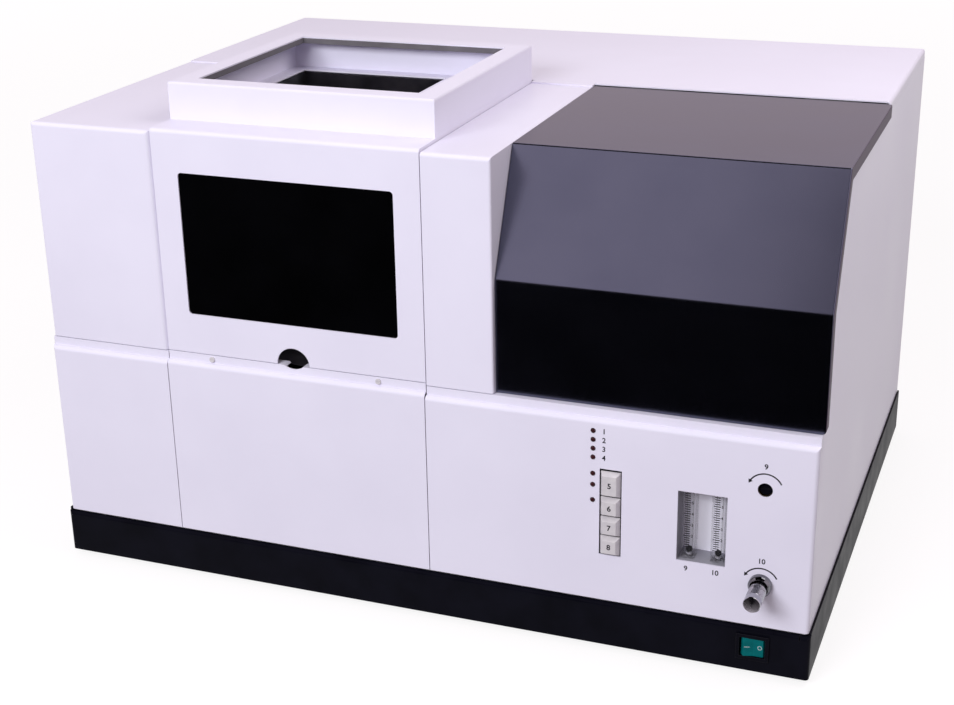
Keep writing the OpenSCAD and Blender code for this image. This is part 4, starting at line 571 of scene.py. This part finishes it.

# %% [markdown]
# ## The push buttons
# Four cream caps stand in one slot. Behind the panel's face each cap and its stem are painted black,
# as painted shadow deep in the slot. Each has a flat face with wide slopes around it, and every edge
# is a little round from the mould. A box makes the skirt, an inset with depth raises the face and makes
# the slopes, and one bevel rounds all the edges. A round stem runs back into the switch block.

# %% Mould the buttons
panel_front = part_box("control_panel")[0].y
button_names = ("select_button", "ignite_button", "check_button", "purge_button")
cap_slope = 3 * MM
skirt_sink = 1 * MM
skirt_front = panel_front + skirt_sink
cap_back = panel_front + 9.5 * MM
gap_across, gap_up = 0.8 * MM, 0.3 * MM
cap_round = 0.45 * MM
stem_r = 2.5 * MM
# Everything behind the panel's face is painted black: painted shadow deep in the slot
by_place("cap_skirt_painted_shadow", "button_cream", "Y", skirt_front + 0.4 * MM, (0.004, 0.004, 0.005), 0.6)
for name in button_names:
    low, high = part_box(name)
    cap = bmesh.new()
    middle = Vector(((low.x + high.x) / 2, (skirt_front + cap_back) / 2, (low.z + high.z) / 2))
    size = Vector((high.x - low.x - gap_across, cap_back - skirt_front, high.z - low.z - gap_up))
    bmesh.ops.create_cube(cap, matrix=Matrix.Translation(middle) @ Matrix.Diagonal((*size, 1)))
    front = [face for face in cap.faces if face.normal.y < -0.9]
    bmesh.ops.inset_region(cap, faces=front, thickness=cap_slope, depth=skirt_front - low.y,
                           use_even_offset=True)
    bmesh.ops.bevel(cap, geom=cap.edges[:], offset=cap_round, segments=3, profile=0.5, affect="EDGES",
                    material=-1)
    stem_l = high.y - cap_back
    stem_place = Vector((middle.x, cap_back + stem_l / 2 - 0.2 * MM, middle.z))
    bmesh.ops.create_cone(cap, cap_ends=True, segments=24, radius1=stem_r, radius2=stem_r, depth=stem_l,
                          matrix=Matrix.Translation(stem_place) @ Matrix.Rotation(math.radians(90), 4, "X"))
    made = piece(name + "_cap", cap, "cap_skirt_painted_shadow", name)
    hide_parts(name)

# %% [markdown]
# ## The indicator lamps
# Seven dark red lenses sit in the panel, four in a column and three beside the buttons. Each is half
# a ball on a short collar. A ball is cut through the middle, flattened a little, and its open edge is
# pulled back through the panel.

# %% Turn the indicator lenses
lamp_low, lamp_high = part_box("indicator_lamps")
lens_x = (lamp_low.x + lamp_high.x) / 2
lens_r = 2.5 * MM
select_top, ignite_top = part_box("select_button")[1].z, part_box("ignite_button")[1].z
lens_pitch = 9.4 * MM
lens_heights = [lamp_high.z - 3 * MM - count * lens_pitch for count in range(4)]
lens_heights += [select_top - 4 * MM, select_top - 16 * MM, ignite_top - 5 * MM]
lenses = bmesh.new()
for height in lens_heights:
    ball = bmesh.new()
    bmesh.ops.create_uvsphere(ball, u_segments=24, v_segments=12, radius=lens_r)
    everything = ball.verts[:] + ball.edges[:] + ball.faces[:]
    bmesh.ops.bisect_plane(ball, geom=everything, plane_co=(0, 0, 0), plane_no=(0, 1, 0), clear_outer=True)
    bmesh.ops.scale(ball, vec=(1, 0.6, 1), verts=ball.verts)
    open_edges = [edge for edge in ball.edges if edge.is_boundary]
    collar = bmesh.ops.extrude_edge_only(ball, edges=open_edges)
    collar_verts = [part for part in collar["geom"] if isinstance(part, bmesh.types.BMVert)]
    bmesh.ops.translate(ball, verts=collar_verts, vec=(0, lamp_high.y - panel_front, 0))
    bmesh.ops.holes_fill(ball, edges=[edge for edge in ball.edges if edge.is_boundary], sides=0)
    bmesh.ops.translate(ball, verts=ball.verts, vec=(lens_x, panel_front - 0.1 * MM, height))
    bmesh.ops.recalc_face_normals(ball, faces=ball.faces)
    one = bpy.data.meshes.new("one_lens")
    ball.to_mesh(one)
    ball.free()
    lenses.from_mesh(one)
    bpy.data.meshes.remove(one)
indicator_lenses = piece("indicator_lenses", lenses, "indicator_red", "cabinet")
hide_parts("indicator_lamps")

# %% [markdown]
# ## The valve knob
# The fuel valve is opened by a slim chrome knob: a knurled sleeve, a smooth band and a turned, slightly
# pointed end. Its outline is spun about the valve's axis. The knurl is made from the quads of the
# sleeve: poking a face raises a small pyramid on it, and rows of pyramids are what a knurling tool
# leaves. The end keeps fine rings from the lathe, which stretch its highlights across them.

# %% Turn and knurl the valve knob
knob_low, knob_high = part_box("valve_knob")
valve_x, valve_z = (knob_low.x + knob_high.x) / 2, (knob_low.z + knob_high.z) / 2
knob_r = (knob_high.x - knob_low.x) / 2
knob_end, knob_root = knob_low.y, knob_low.y + 31 * MM
knurl_from, knurl_to = knob_end + 10.5 * MM, knob_root - 1.5 * MM
knurl_rows = 16
knurl_depth = 0.42 * MM
spindle_r = 3.0 * MM
# The pointed end and the smooth band, as millimetres below the knob's radius and back from its end
end_line = [(1.3, 1.0), (0.5, 1.3), (0.0, 2.1), (0.0, 9.4), (0.55, 9.9)]
outline = [(0.0, knob_end)]
outline += [(knob_r - below * MM, knob_end + back * MM) for below, back in end_line]
row_step = (knurl_to - knurl_from) / knurl_rows
outline += [(knob_r - 0.45 * MM, knurl_from + row * row_step) for row in range(knurl_rows + 1)]
outline += [(knob_r - 1.0 * MM, knob_root), (spindle_r, knob_root), (spindle_r, knob_high.y),
            (0.0, knob_high.y)]

knob = bmesh.new()
chain = [knob.verts.new((valve_x + radius, along, valve_z)) for radius, along in outline]
links = [knob.edges.new(pair) for pair in zip(chain, chain[1:])]
bmesh.ops.spin(knob, geom=chain + links, cent=(valve_x, 0, valve_z), axis=(0, 1, 0), angle=math.tau,
               steps=52, use_merge=True)
bmesh.ops.remove_doubles(knob, verts=knob.verts, dist=0.005 * MM)
bmesh.ops.recalc_face_normals(knob, faces=knob.faces)
sleeve = [face for face in knob.faces if knurl_from < face.calc_center_median().y < knurl_to]
bmesh.ops.poke(knob, faces=sleeve, offset=knurl_depth)

# The turned end is a darker copy of the chrome: painted shade standing in for the dark room its face mirrors
turned_tree = finish("turned_end", (0.20, 0.18, 0.21), (0.28, 0.26, 0.29), (0.24, 0.30), 120, 1800, 0.05,
                     metal=1.0).node_tree
turned_spot = add(turned_tree, "Mapping", Vector=add(turned_tree, "TexCoord").outputs["Object"],
                  Location=(-valve_x, 0, -valve_z)).outputs["Vector"]
rings = add(turned_tree, "TexWave", Vector=turned_spot, Scale=900.0, Distortion=0.4)
rings.wave_type = "RINGS"
rings.rings_direction = "Y"
turned_bump = add(turned_tree, "Bump", Height=rings.outputs["Fac"], Strength=0.3, Distance=0.03 * MM)
turned_shader = turned_tree.nodes["Principled BSDF"]
turned_tree.links.new(turned_bump.outputs["Normal"], turned_shader.inputs["Normal"])
around = add(turned_tree, "Tangent")
around.direction_type = "RADIAL"
around.axis = "Y"
turned_tree.links.new(around.outputs["Tangent"], turned_shader.inputs["Tangent"])
turned_shader.inputs["Anisotropic"].default_value = 0.85
by_place("turned_chrome", "turned_end", "Y", knob_end + 1.25 * MM, (0.42, 0.42, 0.45), 0.09)
valve_grip = piece("valve_grip", knob, "turned_chrome", "valve_knob", smooth=28)
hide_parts("valve_knob")

# %% [markdown]
# ## Seats in the flow tubes
# At rest each ball float sits on a small turned steel seat at the foot of its tube. The seat is a spun
# outline with a sloping shoulder, just larger than the plain stem that it covers.

# %% Turn the seats
ball_low, ball_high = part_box("oxidant_float")
tubes_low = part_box("flow_tubes")[0]
tube_y = (ball_low.y + ball_high.y) / 2
tube_places = [(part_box(name)[0].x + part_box(name)[1].x) / 2 for name in ("oxidant_float", "fuel_float")]
seat_top = ball_low.z + 0.1 * MM
# Millimetres from the axis and up from the seat's top
seat_line = [(0.0, 0.0), (1.4, 0.0), (2.4, -1.2), (3.3, -1.5), (3.3, -4.2)]
seats = bmesh.new()
for place in tube_places:
    chain = [seats.verts.new((place + radius * MM, tube_y, seat_top + up * MM)) for radius, up in seat_line]
    links = [seats.edges.new(pair) for pair in zip(chain, chain[1:])]
    bmesh.ops.spin(seats, geom=chain + links, cent=(place, tube_y, 0), axis=(0, 0, 1), angle=math.tau,
                   steps=28, use_merge=True)
bmesh.ops.remove_doubles(seats, verts=seats.verts, dist=0.005 * MM)
bmesh.ops.recalc_face_normals(seats, faces=seats.faces)
piece("float_seats", seats, "stainless", "cabinet", smooth=25)

# %% [markdown]
# ## Printed marks
# The panel carries thin printed marks: a turning arrow over the valve and one over the adjuster, a
# number at each of the four lamps in the column and at each button, and a scale on each flow tube.
# Print is modelled as a very thin raised layer. An arc is a short edge spun part of a turn, an arrow
# head is a circle of three points, and numbers are text that is made a mesh before it is placed.

# %% Helpers for print
ink_t = 0.06 * MM
arc_half, arrow_r = 0.7 * MM, 2.6 * MM


def arc_arrow(shape, centre, radius, first, last):
    """A thin arc about a centre, seen from the front, with an arrow head at its last end."""
    start = Vector((math.cos(first), 0, math.sin(first)))
    pair = [shape.verts.new(centre + start * (radius + side * arc_half)) for side in (-1, 1)]
    line = shape.edges.new(pair)
    bmesh.ops.spin(shape, geom=pair + [line], cent=centre, axis=(0, -1, 0), angle=last - first, steps=28,
                   use_merge=False)
    tip = centre + Vector((math.cos(last), 0, math.sin(last))) * radius
    turn_to = Matrix.Rotation(last, 4, (0, -1, 0)) @ Matrix.Rotation(math.radians(90), 4, "X")
    bmesh.ops.create_circle(shape, cap_ends=True, segments=3, radius=arrow_r,
                            matrix=Matrix.Translation(tip) @ turn_to)


def print_number(shape, words, height, centre):
    """Adds upright figures that face the front, with their middle at a centre."""
    curve = bpy.data.curves.new("figures", "FONT")
    curve.body = words
    curve.size = height
    curve.offset = height / 45
    curve.align_x = "CENTER"
    curve.align_y = "CENTER"
    holder = bpy.data.objects.new("figures", curve)
    scene.collection.objects.link(holder)
    drawn = holder.evaluated_get(bpy.context.evaluated_depsgraph_get())
    flat = bpy.data.meshes.new_from_object(drawn)
    flat.transform(Matrix.Translation(centre) @ Matrix.Rotation(math.radians(90), 4, "X"))
    shape.from_mesh(flat)
    bpy.data.objects.remove(holder)
    bpy.data.curves.remove(curve)
    bpy.data.meshes.remove(flat)


def raise_print(shape):
    """Makes flat print a thin layer whose back lies on the surface that carries it."""
    for face in shape.faces:
        if face.normal.y > 0:
            face.normal_flip()
    bmesh.ops.solidify(shape, geom=shape.faces[:], thickness=ink_t)


# %% Print the panel
panel_print = bmesh.new()
adjuster_low, adjuster_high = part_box("oxidant_adjuster")
adjuster_z = (adjuster_low.z + adjuster_high.z) / 2
on_panel = panel_front - ink_t
figure_h = 7.5 * MM
under_tubes = tubes_low.z - 8 * MM
for height, radius, first, last in ((adjuster_z, 16.9 * MM, 27, 152), (valve_z, 17.6 * MM, 29, 148)):
    arc_centre = Vector((valve_x, on_panel, height))
    arc_arrow(panel_print, arc_centre, radius, math.radians(first), math.radians(last))
for count, height in enumerate(lens_heights[:4], start=1):
    print_number(panel_print, str(count), figure_h, Vector((lens_x + 11 * MM, on_panel, height)))
for number, place, height in (("9", tube_places[0], under_tubes), ("10", tube_places[1], under_tubes),
                              ("9", valve_x, adjuster_z + 24 * MM), ("10", valve_x, valve_z + 25 * MM)):
    print_number(panel_print, number, figure_h, Vector((place, on_panel, height)))
raise_print(panel_print)
piece("panel_print", panel_print, "panel_ink", "cabinet")

for count, name in enumerate(button_names, start=5):
    low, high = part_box(name)
    cap_print = bmesh.new()
    middle = Vector(((low.x + high.x) / 2, low.y - ink_t, (low.z + high.z) / 2))
    print_number(cap_print, str(count), 8 * MM, middle)
    raise_print(cap_print)
    piece(name + "_number", cap_print, "panel_ink", name)

# %% Print the flow scales
scale_print = bmesh.new()
tube_front = tubes_low.y - ink_t
tick_step = 2.4 * MM
tick_first = ball_high.z + 2 * MM
tick_count = 26
tick_t = 1.0 * MM
long_l, short_l = 6.8 * MM, 5.4 * MM
to_left = 1.2 * MM
for place in tube_places:
    for tick in range(tick_count):
        long_tick = tick % 5 == 0
        length = long_l if long_tick else short_l
        middle = Vector((place - to_left, tube_front, tick_first + tick * tick_step))
        bar = Matrix.Translation(middle) @ Matrix.Diagonal((length, 1, tick_t, 1))
        bmesh.ops.create_grid(scale_print, x_segments=1, y_segments=1, size=0.5,
                              matrix=bar @ Matrix.Rotation(math.radians(90), 4, "X"))
        if long_tick:
            print_number(scale_print, str(tick // 5 + 1), 4.2 * MM, middle + Vector((5.0 * MM, 0, 0)))
raise_print(scale_print)
piece("flow_scales", scale_print, "panel_ink", "cabinet")

# %% [markdown]
# ## Marks on the rocker switch
# The two halves of the green rocker carry a bar for on and a ring for off. The rocker rests tipped, so
# the marks are laid out on an upright face first and then turned by the same angle about the pin.

# %% Print the rocker
frame_low, frame_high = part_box("rocker_frame")
pin_y = -318 * MM
rocker_axis = Vector(((frame_low.x + frame_high.x) / 2, pin_y, (frame_low.z + frame_high.z) / 2))
half_slope = math.atan2(1.8, 12.5)
rest_tip = math.radians(8)
off_middle, face_out = 6.25 * MM, 7.6 * MM
bar_l, bar_t = 5.4 * MM, 0.5 * MM
ring_radii = (1.7 * MM, 2.15 * MM)
tipped = Matrix.Translation(rocker_axis) @ Matrix.Rotation(rest_tip, 4, "Z")
marks = bmesh.new()
for side in (-1, 1):
    mark = bmesh.new()
    if side < 0:
        bmesh.ops.create_grid(mark, x_segments=1, y_segments=1, size=0.5,
                              matrix=upright @ Matrix.Diagonal((bar_l, bar_t, 1, 1)))
    else:
        pair = [mark.verts.new((radius, 0, 0)) for radius in ring_radii]
        line = mark.edges.new(pair)
        bmesh.ops.spin(mark, geom=pair + [line], cent=(0, 0, 0), axis=(0, -1, 0), angle=math.tau, steps=32,
                       use_merge=True)
    raise_print(mark)
    slope = Matrix.Rotation(-side * half_slope, 4, "Z")
    lay = Matrix.Translation((side * off_middle, -face_out - ink_t, 0)) @ slope
    bmesh.ops.transform(mark, matrix=tipped @ lay, verts=mark.verts)
    one = bpy.data.meshes.new("one_mark")
    mark.to_mesh(one)
    mark.free()
    marks.from_mesh(one)
    bpy.data.meshes.remove(one)
piece("rocker_marks", marks, "pale_ink", "rocker")

# %% [markdown]
# ## Lenses and inlet pins
# Two small things finish the places that open or face the wall. Each lens barrel holds a curved glass,
# spun from a shallow outline, and the mains inlet has three flat metal pins, made from bevelled boxes.

# %% Turn the lenses
barrels_low, barrels_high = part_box("lens_barrels")
beam_y, beam_z = (barrels_low.y + barrels_high.y) / 2, (barrels_low.z + barrels_high.z) / 2
left_lens_x, right_lens_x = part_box("burner_chamber")[0].x - 8 * MM, 53 * MM
# Millimetres along the beam and from its axis
lens_line = [(-0.4, 12.8), (0.6, 12.8), (1.6, 9.5), (2.3, 5.5), (2.6, 0.0)]
glass = bmesh.new()
for face_x, way in ((left_lens_x, 1), (right_lens_x, -1)):
    chain = [glass.verts.new((face_x + way * along * MM, beam_y, beam_z + radius * MM))
             for along, radius in lens_line]
    links = [glass.edges.new(pair) for pair in zip(chain, chain[1:])]
    bmesh.ops.spin(glass, geom=chain + links, cent=(0, beam_y, beam_z), axis=(1, 0, 0), angle=math.tau,
                   steps=32, use_merge=True)
bmesh.ops.remove_doubles(glass, verts=glass.verts, dist=0.005 * MM)
bmesh.ops.holes_fill(glass, edges=[edge for edge in glass.edges if edge.is_boundary], sides=0)
bmesh.ops.recalc_face_normals(glass, faces=glass.faces)
piece("beam_lenses", glass, "lamp_glass", "cabinet")

# %% Set the inlet pins
inlet_low, inlet_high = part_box("mains_inlet")
inlet_x, inlet_z = (inlet_low.x + inlet_high.x) / 2, (inlet_low.z + inlet_high.z) / 2
pin_size = Vector((2.1 * MM, 14 * MM, 4.1 * MM))
pin_y_middle = inlet_high.y - 5.4 * MM - pin_size.y / 2
pins = bmesh.new()
for across, up in ((-7, -2), (0, 2), (7, -2)):
    place = Vector((inlet_x + across * MM, pin_y_middle, inlet_z + up * MM))
    bmesh.ops.create_cube(pins, matrix=Matrix.Translation(place) @ Matrix.Diagonal((*pin_size, 1)))
bmesh.ops.bevel(pins, geom=pins.edges[:], offset=0.35 * MM, segments=2, profile=0.5, affect="EDGES",
                material=-1)
piece("inlet_pins", pins, "brass_parts", "cabinet")
